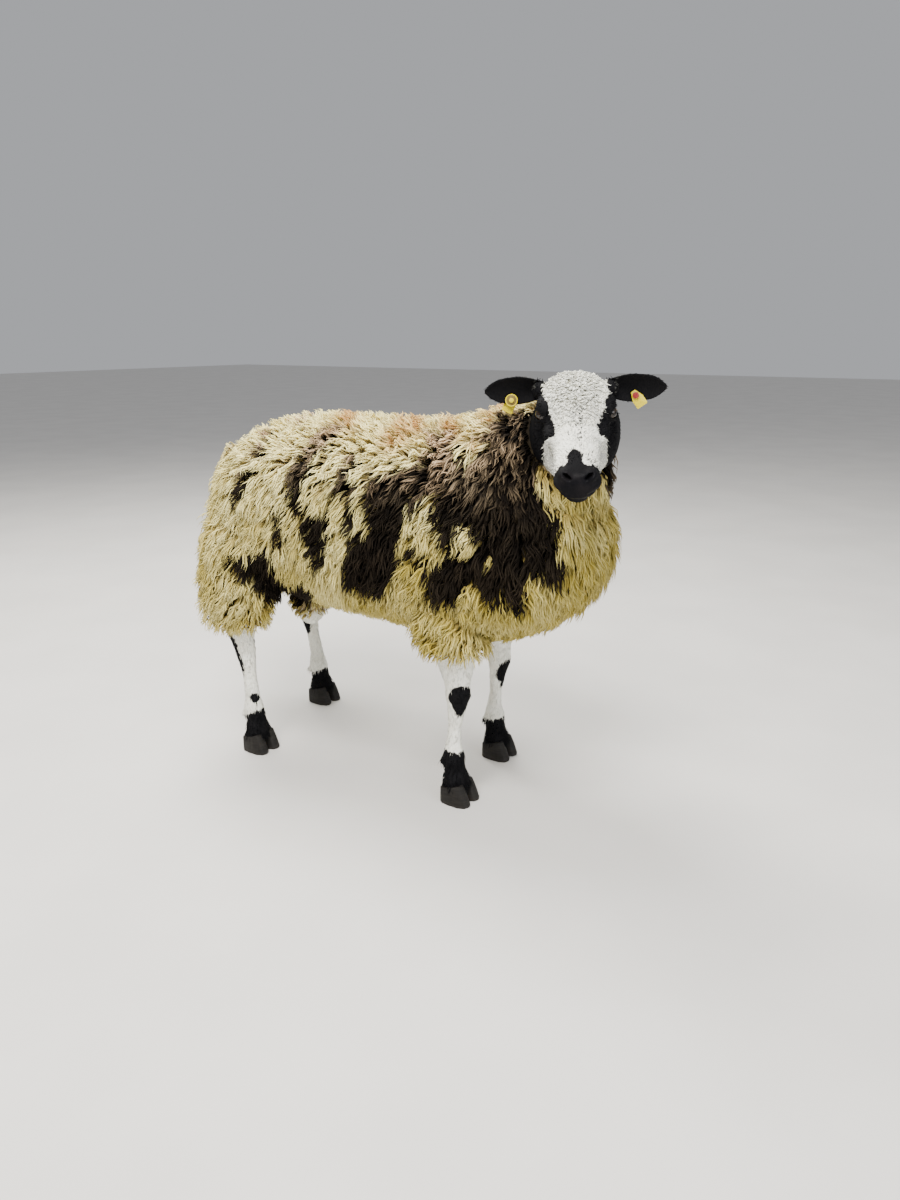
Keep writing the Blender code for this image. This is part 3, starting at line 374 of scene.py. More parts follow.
# Dark patches of the far side, in the same coordinates with X the other way round.
FAR_PATCHES = (
    (
        (0.020, 0.640), (0.080, 0.700), (0.160, 0.700), (0.190, 0.790), (0.300, 0.820),
        (0.330, 0.660), (0.300, 0.560), (0.240, 0.470), (0.160, 0.430), (0.080, 0.450),
        (0.030, 0.520),
    ),
    (
        (-0.140, 0.720), (-0.080, 0.730), (-0.060, 0.620), (-0.090, 0.500), (-0.150, 0.480),
        (-0.170, 0.600),
    ),
    ((-0.300, 0.690), (-0.230, 0.700), (-0.215, 0.640), (-0.280, 0.610)),
    ((-0.400, 0.500), (-0.310, 0.510), (-0.270, 0.430), (-0.350, 0.390)),
)
FAR_ISLANDS = (((0.110, 0.600), (0.150, 0.610), (0.165, 0.540), (0.120, 0.530)),)
# The seen patches give way to the far ones between these places across the back, and the line
# between them runs aslant along it.
RIDGE_TURN = (0.035, 0.065)
RIDGE_SLANT = 0.16
# Orange-brown stains on the back: centre of each and its reach.
STAINS = (
    (-0.109, 0.756, 0.026), (-0.012, 0.724, 0.020), (0.012, 0.745, 0.022), (0.038, 0.753, 0.020),
    (0.104, 0.748, 0.024), (0.160, 0.732, 0.022), (0.180, 0.768, 0.024), (0.206, 0.786, 0.022),
)

# Dark marks of the legs: centre and radii, in the body's frame.
LEG_MARKS = (
    # Right fore knee
    ((-0.129, -0.2365, 0.229), (0.029, 0.029, 0.030)),
    ((-0.129, -0.2345, 0.210), (0.017, 0.017, 0.026)),
    # Left fore leg, in front
    ((0.109, -0.206, 0.206), (0.023, 0.023, 0.032)),
    ((0.114, -0.206, 0.186), (0.015, 0.018, 0.030)),
    # Right hind leg: back edge, small mark under the wool, round spot
    ((-0.169, 0.366, 0.290), (0.034, 0.034, 0.036)),
    ((-0.168, 0.350, 0.245), (0.021, 0.023, 0.050)),
    ((-0.163, 0.335, 0.205), (0.014, 0.017, 0.034)),
    ((-0.122, 0.309, 0.258), (0.020, 0.018, 0.008)),
    ((-0.160, 0.295, 0.128), (0.0125, 0.0125, 0.0115)),
    # Left hind leg, inner back: a black patch that also holds painted shade of the inner thigh
    # under the belly
    ((0.130, 0.408, 0.228), (0.034, 0.034, 0.058)),
    ((0.122, 0.390, 0.300), (0.060, 0.060, 0.055)),
)
# Height below which each foot is dark, in front and at the heel.
FOOT_DARK = {
    "fore_right": (0.107, 0.114),
    "fore_left": (0.100, 0.088),
    "hind_right": (0.108, 0.080),
    "hind_left": (0.100, 0.072),
}

# White of the face: distance from the poll towards the muzzle and the half width there.
BLAZE = (
    (-0.060, 0.048), (0.000, 0.055), (0.045, 0.053), (0.074, 0.045), (0.105, 0.034), (0.120, 0.034),
)
BLAZE_END = 0.121
CHEEK_STRIP = 0.0540
# Dark tongue over the nose: distance from the poll and half width.
NOSE_TONGUE = (
    (0.165, -0.006), (0.168, 0.002), (0.172, 0.008), (0.177, 0.0115), (0.190, 0.0125),
    (0.196, 0.0150), (0.200, 0.022),
)
NOSE_TONGUE_MIDDLE = -0.0045
MUZZLE_START = 0.1985
# Flecked ovals of the face, for skin, curls and hair: the place across and along, and the size.
SKIN_FLECKS = (((0.004, 0.120), (0.014, 0.040)), ((0.020, 0.184), (0.012, 0.014)))
CURL_FLECKS = (((0.004, 0.110), (0.012, 0.036)),)
HAIR_FLECKS = (((0.004, 0.122), (0.012, 0.038)), ((0.020, 0.184), (0.011, 0.013)))
FLECK_DARK = 0.96

# Tufts
FLEECE_SEED = 21
HAIR_SEED = 5
POLL_CURLS = 5200
POLL_STAPLE = 0.0060
SHORT_HAIRS = 13500
# Where the rows lie along a tuft, and its width at each row but the tip.
FLEECE_SHARES = np.array((0.0, 0.30, 0.50, 0.68, 0.85, 1.0))
FLEECE_PROFILE = np.array((0.85, 1.0, 0.92, 0.74, 0.48))
CURL_SHARES = np.array((0.0, 0.28, 0.55, 0.80, 1.0))
CURL_PROFILE = np.array((0.85, 1.0, 0.86, 0.52))
HAIR_SHARES = np.array((0.0, 0.45, 1.0))
HAIR_PROFILE = np.array((1.0, 0.8))
# The row of a fleece tuft whose place gives it its colour.
MARKED_ROW = 4
# The fleece is cut into pieces with fewer triangles than the limit.
TUFT_TRIANGLES = 28
PIECE_TRIANGLES = 190000

# Studio. Lights: name, place, size, share of the key light's power, and colour.
LIGHTS = (
    ("key", (-2.0, -0.6, 3.3), 1.6, 1.0, (1.0, 0.97, 0.92)),
    ("fill", (-1.2, -3.4, 1.6), 2.4, 0.30, (0.95, 0.97, 1.0)),
    ("rim", (0.7, 1.5, 3.3), 1.8, 0.95, (1.0, 0.98, 0.92)),
)
LIGHTS_TARGET = Vector((0.0, -0.05, 0.45))
SKY = (0.86, 0.88, 0.92)
SKY_STRENGTH = 0.50
CAMERA_PLACE = Vector((-1.533, -1.09, 0.92))
CAMERA_WAY = Vector((0.847, 0.532, 0.0))


def colour_prop(name, description, default):
    """A colour among the settings."""
    return bpy.props.FloatVectorProperty(
        name=name, description=description, default=default, subtype="COLOR", min=0.0, max=1.0
    )


def length_prop(name, description, default):
    """A length among the settings, in metres."""
    return bpy.props.FloatProperty(
        name=name, description=description, default=default, unit="LENGTH"
    )


class RamCoatSettings(bpy.types.PropertyGroup):
    """Sizes and colours of the wool and hair."""

    tufts: bpy.props.IntProperty(
        name="Tufts", description="How many tufts the fleece has", default=44000, min=1000
    )
    depth: length_prop("Fleece depth", "How far the wool stands over the skin", 0.043)
    reach: length_prop("Reach", "How far a tuft's tip lies from its root along the body", 0.048)
    width: length_prop("Tuft width", "Half width of a tuft", 0.0024)
    staple: length_prop("Staple spacing", "Distance between the staples of tufts", 0.0125)
    cream: colour_prop("Cream wool", "Colour of the light wool", (0.98, 0.88, 0.41))
    # The light wool low down is darker for dirt and for painted shade.
    stained_and_shaded: colour_prop("Stained wool", "Colour of the light wool low down", (0.44, 0.345, 0.06))
    dark: colour_prop("Dark wool", "Colour of the dark wool", (0.0065, 0.0050, 0.0038))
    bleached: colour_prop("Bleached tips", "Dark wool bleached by the sun", (0.56, 0.42, 0.26))
    white: colour_prop("White hair", "Colour of the short white hair", (0.88, 0.88, 0.80))
    black: colour_prop("Black hair", "Colour of the short black hair", (0.006, 0.006, 0.007))


class RamPartSettings(bpy.types.PropertyGroup):
    """Sizes and colours of the eyes, hooves and tags."""

    eye_radius: length_prop("Eye radius", "Radius of each eye", 0.0135)
    iris: colour_prop("Iris", "Colour of the iris", (0.011, 0.006, 0.003))
    horn: colour_prop("Hoof horn", "Colour of the hooves", (0.009, 0.008, 0.007))
    tag: colour_prop("Ear tag", "Colour of the tags' plastic", (0.64, 0.51, 0.003))
    button: colour_prop("Tag button", "Colour of the button on the left tag", (0.22, 0.012, 0.012))
    # The dish of the right tag is darker for dirt and for painted shade in its hollow inside the
    # rim.
    dish: colour_prop("Tag dish", "Colour of the dirty dish on the right tag", (0.16, 0.11, 0.02))


class RamStageSettings(bpy.types.PropertyGroup):
    """Floor, light and camera."""

    floor: colour_prop("Floor", "Colour of the floor", (0.72, 0.70, 0.67))
    key_power: bpy.props.FloatProperty(
        name="Key light", description="Power of the key light", default=235.0, unit="POWER"
    )
    lens: bpy.props.FloatProperty(
        name="Lens", description="Focal length in millimetres", default=27.06
    )
    pitch: bpy.props.FloatProperty(
        name="Pitch", description="How far the camera looks down",
        default=math.radians(16.43), subtype="ANGLE",
    )


def step_between(low, high, value):
    """A smooth step from 0 at low to 1 at high."""
    share = np.clip((value - low) / (high - low), 0.0, 1.0)
    return share * share * (3 - 2 * share)


def unit(vectors):
    """Vectors of length 1 with the same ways."""
    return vectors / np.maximum(np.linalg.norm(vectors, axis=-1, keepdims=True), 1e-9)


def on_skin(ways, normals):
    """Ways without their part across the skin."""
    return ways - normals * (ways * normals).sum(1, keepdims=True)


# Meshes


def link(name, mesh):
    """An object of this mesh, in the scene."""
    obj = bpy.data.objects.new(name, mesh)
    bpy.context.scene.collection.objects.link(obj)
    return obj


def only(obj):
    """Makes an object the only selected one and the active one."""
    bpy.ops.object.select_all(action="DESELECT")
    obj.select_set(True)
    bpy.context.view_layer.objects.active = obj


def apply_all(obj):
    """Applies an object's modifiers."""
    only(obj)
    for modifier in list(obj.modifiers):
        bpy.ops.object.modifier_apply(modifier=modifier.name)
    return obj


def shade_by_angle(obj):
    """Shades an object smooth but for its sharp edges."""
    only(obj)
    bpy.ops.object.shade_smooth_by_angle(angle=math.radians(40))


def bevelled(obj, width, segments, **settings):
    """Rounds off an object's sharp edges."""
    bevel = obj.modifiers.new("bevel", "BEVEL")
    bevel.width = width
    bevel.segments = segments
    bevel.limit_method = "ANGLE"
    for key, value in settings.items():
        setattr(bevel, key, value)
    return apply_all(obj)


def mesh_of(name, points, faces):
    """An object of these points and faces, with the faces outwards."""
    mesh = bpy.data.meshes.new(name)
    mesh.from_pydata([tuple(p) for p in points], [], faces)
    work = bmesh.new()
    work.from_mesh(mesh)
    bmesh.ops.recalc_face_normals(work, faces=work.faces)
    work.to_mesh(mesh)
    work.free()
    return link(name, mesh)


def loft(name, rings):
    """A closed tube through rings of as many points each, with a fan at each end."""
    sides = len(rings[0])
    points = [p for ring in rings for p in ring]
    faces = []
    for row in range(len(rings) - 1):
        for k in range(sides):
            a = row * sides + k
            b = row * sides + (k + 1) % sides
            faces.append((a, b, b + sides, a + sides))
    for ring, start in ((rings[0], 0), (rings[-1], (len(rings) - 1) * sides)):
        points.append(sum((Vector(p) for p in ring), Vector()) / sides)
        hub = len(points) - 1
        for k in range(sides):
            faces.append((start + k, start + (k + 1) % sides, hub))
    return mesh_of(name, points, faces)


def circle(sides):
    """Cosine and sine for each point of a ring."""
    angles = [2 * math.pi * k / sides for k in range(sides)]
    return [(math.cos(angle), math.sin(angle)) for angle in angles]


def squared_tube(name, rows, power):
    """A tube of superellipses along Y: 2 gives round rings, and more gives squarer ones.

    Each row is y, the height of the middle, the half width, and the reach above and below.
    """
    rings = []
    for y, middle, half_width, above, below in rows:
        ring = []
        for c, s in circle(TUBE_SIDES):
            across = math.copysign(abs(c) ** (2 / power), c)
            up = math.copysign(abs(s) ** (2 / power), s)
            reach = above if up > 0 else below
            ring.append(Vector((half_width * across, y, middle + reach * up)))
        rings.append(ring)
    return loft(name, rings)


def trunk_form():
    """The rump, belly, chest and shoulders."""
    rows = []
    for y, top, bottom, half_width in TRUNK_STATIONS:
        middle = bottom + (top - bottom) * TRUNK_WIDEST
        rows.append((y, middle, half_width, top - middle, middle - bottom))
    return squared_tube("trunk", rows, TRUNK_SQUARENESS)


def head_tube(name, stations):
    """The skull or the jaw."""
    rows = [(y, middle, wide, high, high) for y, middle, wide, high in stations]
    return squared_tube(name, rows, HEAD_SQUARENESS)


def bent_tube(name, stations, sides, toward):
    """A tube through stations (centre, half width, half depth), each ring square to its way."""
    centres = [Vector(c) for c, _, _ in stations]
    rings = []
    for i, (_, half_width, half_depth) in enumerate(stations):
        along = centres[min(i + 1, len(centres) - 1)] - centres[max(i - 1, 0)]
        side = along.cross(toward).normalized()
        front = side.cross(along).normalized()
        rings.append([
            centres[i] + (side * half_width * c + front * half_depth * s)
            for c, s in circle(sides)
        ])
    return loft(name, rings)


def leg_tube(stations):
    """A tube with level rings."""
    rings = []
    for centre, half_width, half_depth in stations:
        rings.append([
            Vector(centre) + Vector((half_width * c, half_depth * s, 0))
            for c, s in circle(LEG_SIDES)
        ])
    return loft("leg", rings)


def ball(name, centre, radii, slant=0.0):
    """An ellipsoid, turned about its own Y axis."""
    bpy.ops.mesh.primitive_uv_sphere_add(segments=32, ring_count=20, radius=1.0)
    obj = bpy.context.object
    obj.name = name
    turn = Matrix.Rotation(slant, 4, "Y")
    obj.data.transform(Matrix.Translation(centre) @ turn @ Matrix.Diagonal((*radii, 1.0)))
    return obj


def to_side(vector, side):
    """A place or way of the left side (1), or mirrored to the right side (-1)."""
    return Vector((side * vector[0], vector[1], vector[2]))


def melted(name, pieces, voxel, smoothing):
    """Joins closed pieces into one smooth skin."""
    work = bmesh.new()
    for piece in pieces:
        work.from_mesh(piece.data)
        bpy.data.objects.remove(piece, do_unlink=True)
    mesh = bpy.data.meshes.new(name)
    work.to_mesh(mesh)
    work.free()
    obj = link(name, mesh)
    remesh = obj.modifiers.new("remesh", "REMESH")
    remesh.mode = "VOXEL"
    remesh.voxel_size = voxel
    smooth = obj.modifiers.new("smooth", "SMOOTH")
    smooth.factor = 0.5
    smooth.iterations = smoothing
    return apply_all(obj)


def join_by(obj, others, operation):
    """Joins an object with others, or cuts it by them, and removes them."""
    for other in others:
        modifier = obj.modifiers.new("boolean", "BOOLEAN")
        modifier.operation = operation
        modifier.solver = "MANIFOLD"
        modifier.object = other
    apply_all(obj)
    for other in others:
        bpy.data.objects.remove(other, do_unlink=True)


def head_matrix():
    """From the head's own frame to the scene's."""
    turn = Matrix.Rotation(HEAD_TURN, 4, "Z") @ Matrix.Rotation(HEAD_NOD, 4, "X")
    turn = turn @ Matrix.Rotation(HEAD_TILT, 4, "Y")
    return Matrix.Translation(SHIFT) @ Matrix.Translation(HEAD_PLACE) @ turn


def leg_rows(stations, side, back, lean):
    """A leg's stations: the right ones as they are, the left ones mirrored and moved back."""
    if side < 0:
        return stations
    rows = []
    for (x, y, z), half_width, half_depth in stations:
        leant = lean * step_between(*LEAN_HEIGHTS, z)
        kept = 1 - THIGH_FORWARD * step_between(*THIGH_HEIGHTS, z)
        rows.append(((-x, y + back * kept + leant, z), half_width, half_depth))
    return rows


# Fields over the body, all for arrays of points


def unshifted(points):
    """Points of the scene in the frame of the stations."""
    return points - np.array(SHIFT)


def head_axes():
    """The head's own axes, as columns."""
    return np.array(head_matrix().to_3x3())


def on_head(points):
    """Places in the head's frame: across, along from the poll to the muzzle, and up."""
    inverse = np.array(head_matrix().inverted())
    x, y, z = (points @ inverse[:3, :3].T + inverse[:3, 3]).T
    return x, -y, z


def wool_share(points, head):
    """1 where the fleece is full, 0 on the bare legs and on the head."""
    place = unshifted(points)
    hind = place[:, 1] > 0.05
    low = np.where(hind, HIND_FLEECE_END[0], FORE_FLEECE_END[0])
    high = np.where(hind, HIND_FLEECE_END[1], FORE_FLEECE_END[1])
    poll = step_between(*POLL_FLEECE_END, place[:, 2])
    share = step_between(low, high, place[:, 2]) * (1 - 0.45 * poll)
    return np.where(head, 0.0, share)


def signed_distance(points, outline):
    """Distance of flat points from a polygon's edge, positive inside it."""
    corners = np.array(outline)
    best = np.full(len(points), np.inf)
    inside = np.zeros(len(points), bool)
    for a, b in zip(corners, np.roll(corners, -1, axis=0)):
        edge = b - a
        step = points - a
        share = np.clip(step @ edge / (edge @ edge), 0.0, 1.0)
        best = np.minimum(best, np.linalg.norm(step - share[:, None] * edge, axis=1))
        crosses = (a[1] > points[:, 1]) != (b[1] > points[:, 1])
        rise = edge[1] if edge[1] else 1.0
        at = a[0] + (points[:, 1] - a[1]) * edge[0] / rise
        inside ^= crosses & (points[:, 0] < at)
    return np.where(inside, best, -best)


def patches_of(flat, patches, islands):
    """The distance inside the patches and outside the islands in them."""
    field = np.full(len(flat), -1.0)
    for outline in patches:
        field = np.maximum(field, signed_distance(flat, outline))
    for outline in islands:
        field = np.minimum(field, -signed_distance(flat, outline))
    return field


def flattened(place, side):
    """How far forward and how high places are, seen from the camera's side (1) or mirrored (-1)."""
    forward = side * place[:, 0] * SEEN_WAY[0] + place[:, 1] * SEEN_WAY[1]
    return np.stack([forward, place[:, 2]], axis=1)


def body_marks(points):
    """Dark of the fleece: positive inside a patch, the distance to its edge in metres."""
    place = unshifted(points)
    seen = patches_of(flattened(place, 1), SEEN_PATCHES, SEEN_ISLANDS)
    far = patches_of(flattened(place, -1), FAR_PATCHES, FAR_ISLANDS)
    turn = step_between(*RIDGE_TURN, place[:, 0] + RIDGE_SLANT * place[:, 1])
    return seen * (1 - turn) + far * turn


def leg_marks(points):
    """Dark of the bare legs: their marks and the feet."""
    place = unshifted(points)
    field = np.full(len(points), -1.0)
    for centre, radii in LEG_MARKS:
        step = (place - np.array(centre)) / np.array(radii)
        field = np.maximum(field, (1 - np.linalg.norm(step, axis=1)) * min(radii))
    for leg, stations, side, back, lean in LEGS:
        x, y, _ = leg_rows(stations, side, back, lean)[-1][0]
        near = (np.abs(place[:, 0] - x) < 0.06) & (np.abs(place[:, 1] - y) < 0.13)
        front, heel = FOOT_DARK[leg]
        share = np.clip((place[:, 1] - y + 0.03) / 0.06, 0, 1)
        top = front + (heel - front) * share
        field = np.where(near, np.maximum(field, top - place[:, 2]), field)
    return field


def face_marks(points):
    """Dark of the face: positive where the hair is black."""
    x, along, height = on_head(points)
    across = np.abs(x)
    half = np.interp(along, *zip(*BLAZE))
    upper = step_between(-0.014, 0.002, height + 0.65 * np.clip(BLAZE_END - along, 0, 0.07))
    side = across - (half * upper + CHEEK_STRIP * (1 - upper))
    side = np.minimum(side, BLAZE_END - along)
    tongue = np.interp(along, *zip(*NOSE_TONGUE)) - np.abs(x - NOSE_TONGUE_MIDDLE)
    tongue = np.where(along > NOSE_TONGUE[0][0], tongue, -1.0)
    start = MUZZLE_START - 0.30 * np.maximum(across - 0.005, 0.0)
    muzzle = along - start + 0.35 * np.maximum(-0.030 - height, 0.0)
    lip = np.minimum(along - 0.168, -0.046 - height)
    return np.maximum.reduce([side, tongue, muzzle, lip])


def dark_field(points, head, wool):
    """Dark of the whole animal: positive inside a mark."""
    field = np.where(wool > FLEECE_EDGE, body_marks(points), leg_marks(points))
    return np.where(head, face_marks(points), field)


def flecked(x, along, ovals):
    """How flecked the face is at places on it: 1 at an oval's middle."""
    return np.maximum.reduce([
        np.exp(-(((x - middle_x) / wide) ** 2 + ((along - middle) / tall) ** 2))
        for (middle_x, middle), (wide, tall) in ovals
    ])


def stain_and_shade_share(points):
    """Yellow grease and dirt of the light wool, together with painted shade: strong low down, on
    shoulder and chest.
    """
    _, y, z = unshifted(points).T
    low = 1 - step_between(0.42, 0.74, z)
    shoulder = np.exp(-(((y + 0.20) / 0.18) ** 2 + ((z - 0.46) / 0.16) ** 2))
    chest = step_between(-0.28, -0.40, y) * step_between(0.76, 0.66, z)
    return np.clip(0.06 + 0.62 * low + 0.40 * shoulder + 0.35 * chest, 0.0, 1.0)


def rust_share(points):
    """Orange-brown stains on the back."""
    flat = flattened(unshifted(points), 1)
    share = np.zeros(len(points))
    for along, height, reach in STAINS:
        far = ((flat[:, 0] - along) ** 2 + (flat[:, 1] - height) ** 2) / reach**2
        share = np.maximum(share, np.exp(-far))
    return share


def lie_ways(points, normals):
    """The way the coat lies at each point, along the skin."""
    way = np.tile(np.array(LIE), (len(points), 1))
    way[unshifted(points)[:, 1] < -0.30] = CHEST_LIE
    way = on_skin(way, normals)
    level = unit(np.array((0.0, 1.0, 0.0)) - normals * normals[:, 1:2])
    steep = np.linalg.norm(way, axis=1, keepdims=True) < 0.25
    return np.where(steep, level, unit(way))


# Skin


def ear_frame():
    """The ear's ways along, up and towards its opening."""
    along = Vector((math.cos(EAR_BACK), math.sin(EAR_BACK), -math.sin(EAR_DROP))).normalized()
    up = (Vector((0, 0, 1)) - along * along.z).normalized()
    return along, up, along.cross(up).normalized()


def ear_point(share, across):
    """A point of the ear's middle layer, by shares along and across it."""
    along, up, facing = ear_frame()
    shares, widths, depths = zip(*EAR_ROWS)
    half_width = float(np.interp(share, shares, widths))
    depth = float(np.interp(share, shares, depths))
    middle = EAR_ROOT + along * EAR_LENGTH * share + up * EAR_TIP_RISE * share**2
    return middle + up * half_width * across - facing * depth * (1 - across * across)


def ear_shell(side):
    """A thin closed cup."""
    rows = 34
    columns = 19
    count = rows * columns
    grid = []
    for i in range(rows):
        share = i / (rows - 1)
        grid.append([ear_point(share, -1 + 2 * j / (columns - 1)) for j in range(columns)])
    front = []
    back = []
    for i in range(rows):
        for j in range(columns):
            step_along = grid[min(i + 1, rows - 1)][j] - grid[max(i - 1, 0)][j]
            step_across = grid[i][min(j + 1, columns - 1)] - grid[i][max(j - 1, 0)]
            normal = step_along.cross(step_across).normalized()
            edge = 0.5 if j in (0, columns - 1) or i == rows - 1 else 1.0
            half = normal * EAR_THICKNESS / 2 * edge
            front.append(to_side(grid[i][j] + half, side))
            back.append(to_side(grid[i][j] - half, side))
    faces = []
    for i in range(rows - 1):
        for j in range(columns - 1):
            a = i * columns + j
            for k in (a, a + count):
                faces.append((k, k + 1, k + columns + 1, k + columns))
    rim = list(range(columns))
    rim += [i * columns + columns - 1 for i in range(1, rows)]
    rim += [(rows - 1) * columns + j for j in range(columns - 2, -1, -1)]
    rim += [i * columns for i in range(rows - 2, 0, -1)]
    for a, b in zip(rim, rim[1:] + rim[:1]):
        faces.append((a, b, b + count, a + count))
    return mesh_of("ear", front + back, faces)


def eye_axes(side):
    """The eye's ways forward along the face and outwards."""
    facing = to_side(EYE_FACING, side)
    return (EYE_SLIT - facing * EYE_SLIT.dot(facing)).normalized(), facing


def lid_cutter(side):
    """An almond-shaped bar that opens the lids."""
    eye_radius = bpy.context.scene.ram_parts.eye_radius
    centre = to_side(EYE_PLACE, side)
    along, facing = eye_axes(side)
    up = along.cross(facing).normalized()
    rings = []
    for reach in (eye_radius * 0.35, eye_radius * 2.2):
        ring = []
        for c, s in circle(40):
            flat = math.copysign(abs(s) ** 1.3, s)
            step = along * LID_OPENING[0] * c + up * LID_OPENING[1] * flat
            ring.append(centre + facing * reach + step)
        rings.append(ring)
    return loft("lid_cutter", rings)


def mouth_cutter():
    """A thin band round the lips, open at the corners of the mouth."""
    reach = 0.03
    path = [(-x, y) for x, y in reversed(MOUTH_PATH[1:])] + list(MOUTH_PATH)
    corner_y = MOUTH_PATH[-1][1]
    front_y = MOUTH_PATH[0][1]
    half = Vector((0.0, 0.0, MOUTH_WIDTH / 2))
    rings = []
    for x, y in path:
        away = Vector((x, y - corner_y - 0.012, 0.0)).normalized()
        height = MOUTH_HEIGHT + MOUTH_RISE * (y - front_y) / (corner_y - front_y)
        inner = Vector((x, y, height))
        outer = inner + away * reach
        rings.append([inner - half, outer - half * 2.5, outer + half * 2.5, inner + half])
    return loft("mouth_cutter", rings)


def head_skin(eye_radius):
    """Skull, jaw and face forms, with lids, nostrils and mouth line, and both ears."""
    pieces = [head_tube("skull", SKULL_STATIONS), head_tube("jaw", JAW_STATIONS)]
    for centre, radii in HEAD_FORMS:
        for side in (-1, 1) if centre[0] else (1,):
            pieces.append(ball("form", to_side(centre, side), radii))
    lid = eye_radius + LID_THICKNESS
    for side, _ in SIDES:
        pieces.append(ball("lid", to_side(EYE_PLACE, side), (lid, lid, lid)))
    head = melted("head", pieces, *HEAD_MELT)
    cutters = [mouth_cutter()]
    room = eye_radius + GAP
    for side, _ in SIDES:
        cutters.append(ball("socket", to_side(EYE_PLACE, side), (room, room, room)))
        cutters.append(lid_cutter(side))
        nostril = to_side(NOSTRIL_PLACE, side)
        cutters.append(ball("nostril", nostril, NOSTRIL_RADII, -side * NOSTRIL_SLANT))
    join_by(head, cutters, "DIFFERENCE")
    head = melted("head", [head], *CUT_HEAD_MELT)
    join_by(head, [ear_shell(side) for side, _ in SIDES], "UNION")
    head.data.transform(head_matrix())
    return head


def body_skin():
    """Trunk, neck, tail, scrotum and legs as one closed skin, down to the hooves."""
    neck = bent_tube("neck", NECK_STATIONS, TUBE_SIDES, NECK_FRONT)
    tail = bent_tube("tail", TAIL_STATIONS, 20, TAIL_FRONT)
    upper = melted("upper", [trunk_form(), neck], *UPPER_MELT)
    pieces = [upper, tail, ball("scrotum", SCROTUM_CENTRE, SCROTUM_RADII)]
    for leg, stations, side, back, lean in LEGS:
        rows = leg_rows(stations, side, back, lean)
        pieces.append(leg_tube(rows))
        (x, y, _), _, depth = rows[FETLOCK_ROW]
        for hand in (-1, 1):
            place = (x + hand * DEW_CLAW_APART, y + depth * 0.92, DEW_CLAW_HEIGHT)
            pieces.append(ball("dew_claw", place, DEW_CLAW_RADII))
    body = melted("body", pieces, *BODY_MELT)
    body.data.transform(Matrix.Translation(SHIFT))
    return body


def rows_of(items, name, width, kind=float):
    """What a mesh's items hold under this name, as an array with a row for each."""
    values = np.zeros(len(items) * width, kind)
    items.foreach_get(name, values)
    return values.reshape(-1, width)


def mesh_points(mesh):
    """The points of a mesh and their normals."""
    return rows_of(mesh.vertices, "co", 3), rows_of(mesh.vertices, "normal", 3)


def set_points(mesh, points):
    """Moves a mesh's points."""
    mesh.vertices.foreach_set("co", points.astype(np.float32).ravel())
    mesh.update()


def add_colour(mesh, name, values):
    """Stores four numbers for each point."""
    attribute = mesh.attributes.new(name, "FLOAT_COLOR", "POINT")
    attribute.data.foreach_set("color", values.astype(np.float32).ravel())


def displaced(points, normals, share, coat):
    """Where the tips of the wool rooted at these points lie."""
    ways = lie_ways(points, normals)
    flat = 1 - 0.6 * step_between(0.35, 0.85, normals[:, 2])
    out = normals * coat.depth * 0.8 * share[:, None]
    return points + out + ways * (coat.reach * 0.8 * share * flat)[:, None]


def paint_skin(skin, head, coat):
    """Stores the markings, and where leather, speckles, greyer hair and the head are."""
    points, normals = mesh_points(skin.data)
    wool = wool_share(points, head)
    field = dark_field(displaced(points, normals, wool, coat), head, wool)
    field = np.where(wool > FLEECE_EDGE, field, dark_field(points, head, wool))
    # The third number is the share of dirt and painted shade of the light wool.
    marks = (np.clip(0.5 + field * 20, 0, 1), wool, stain_and_shade_share(points), rust_share(points))
    add_colour(skin.data, "marks", np.stack(marks, axis=1))
    x, along, height = on_head(points)
    leather = step_between(0.203, 0.212, along + 0.2 * height)
    speckle = flecked(x, along, SKIN_FLECKS)
    grey = (np.abs(x) > 0.034) & (height < -0.012) & (along > 0.03)
    zones = (leather * head, speckle * head, grey * head, head)
    add_colour(skin.data, "zones", np.stack(zones, axis=1))


# Tufts


def skin_triangles(skin):
    """The skin as arrays: corners, their normals and map places, areas, and which are the head."""
    mesh = skin.data
    mesh.calc_loop_triangles()
    corners = rows_of(mesh.loop_triangles, "vertices", 3, np.int32)
    loops = rows_of(mesh.loop_triangles, "loops", 3, np.int32)
    flat = rows_of(mesh.uv_layers["OFBake"].data, "uv", 2)
    zones = rows_of(mesh.attributes["zones"].data, "color", 4)
    points, normals = mesh_points(mesh)
    places = points[corners]
    edges = places[:, 1:] - places[:, :1]
    areas = np.linalg.norm(np.cross(edges[:, 0], edges[:, 1]), axis=1) / 2
    head = zones[corners, 3].mean(1) > 0.5
    return places, normals[corners], flat[loops], areas, head


def scatter(surface, draw, count, density):
    """Random roots on the skin: place, normal, map place and whether they are on the head."""
    places, normals, flats, areas, head = surface
    weight = areas * density(places.mean(1), normals.mean(1), head)
    pick = draw.choice(len(areas), size=count, p=weight / weight.sum())
    u = np.sqrt(draw.random(count))
    v = draw.random(count)
    mix = np.stack([1 - u, u * (1 - v), u * v], axis=1)[:, :, None]
    normal = unit((normals[pick] * mix).sum(1))
    return (places[pick] * mix).sum(1), normal, (flats[pick] * mix).sum(1), head[pick]


def staples_of(points, spacing, draw):
    """The index, for each root, of the root at the middle of its staple."""
    cells = {}
    for i in draw.permutation(len(points)):
        cells.setdefault(tuple(np.floor(points[i] / spacing).astype(int)), i)
    centres = list(cells.values())
    tree = KDTree(len(centres))
    for k, i in enumerate(centres):
        tree.insert(points[i], k)
    tree.balance()
    return np.array([centres[tree.find(point)[1]] for point in points])


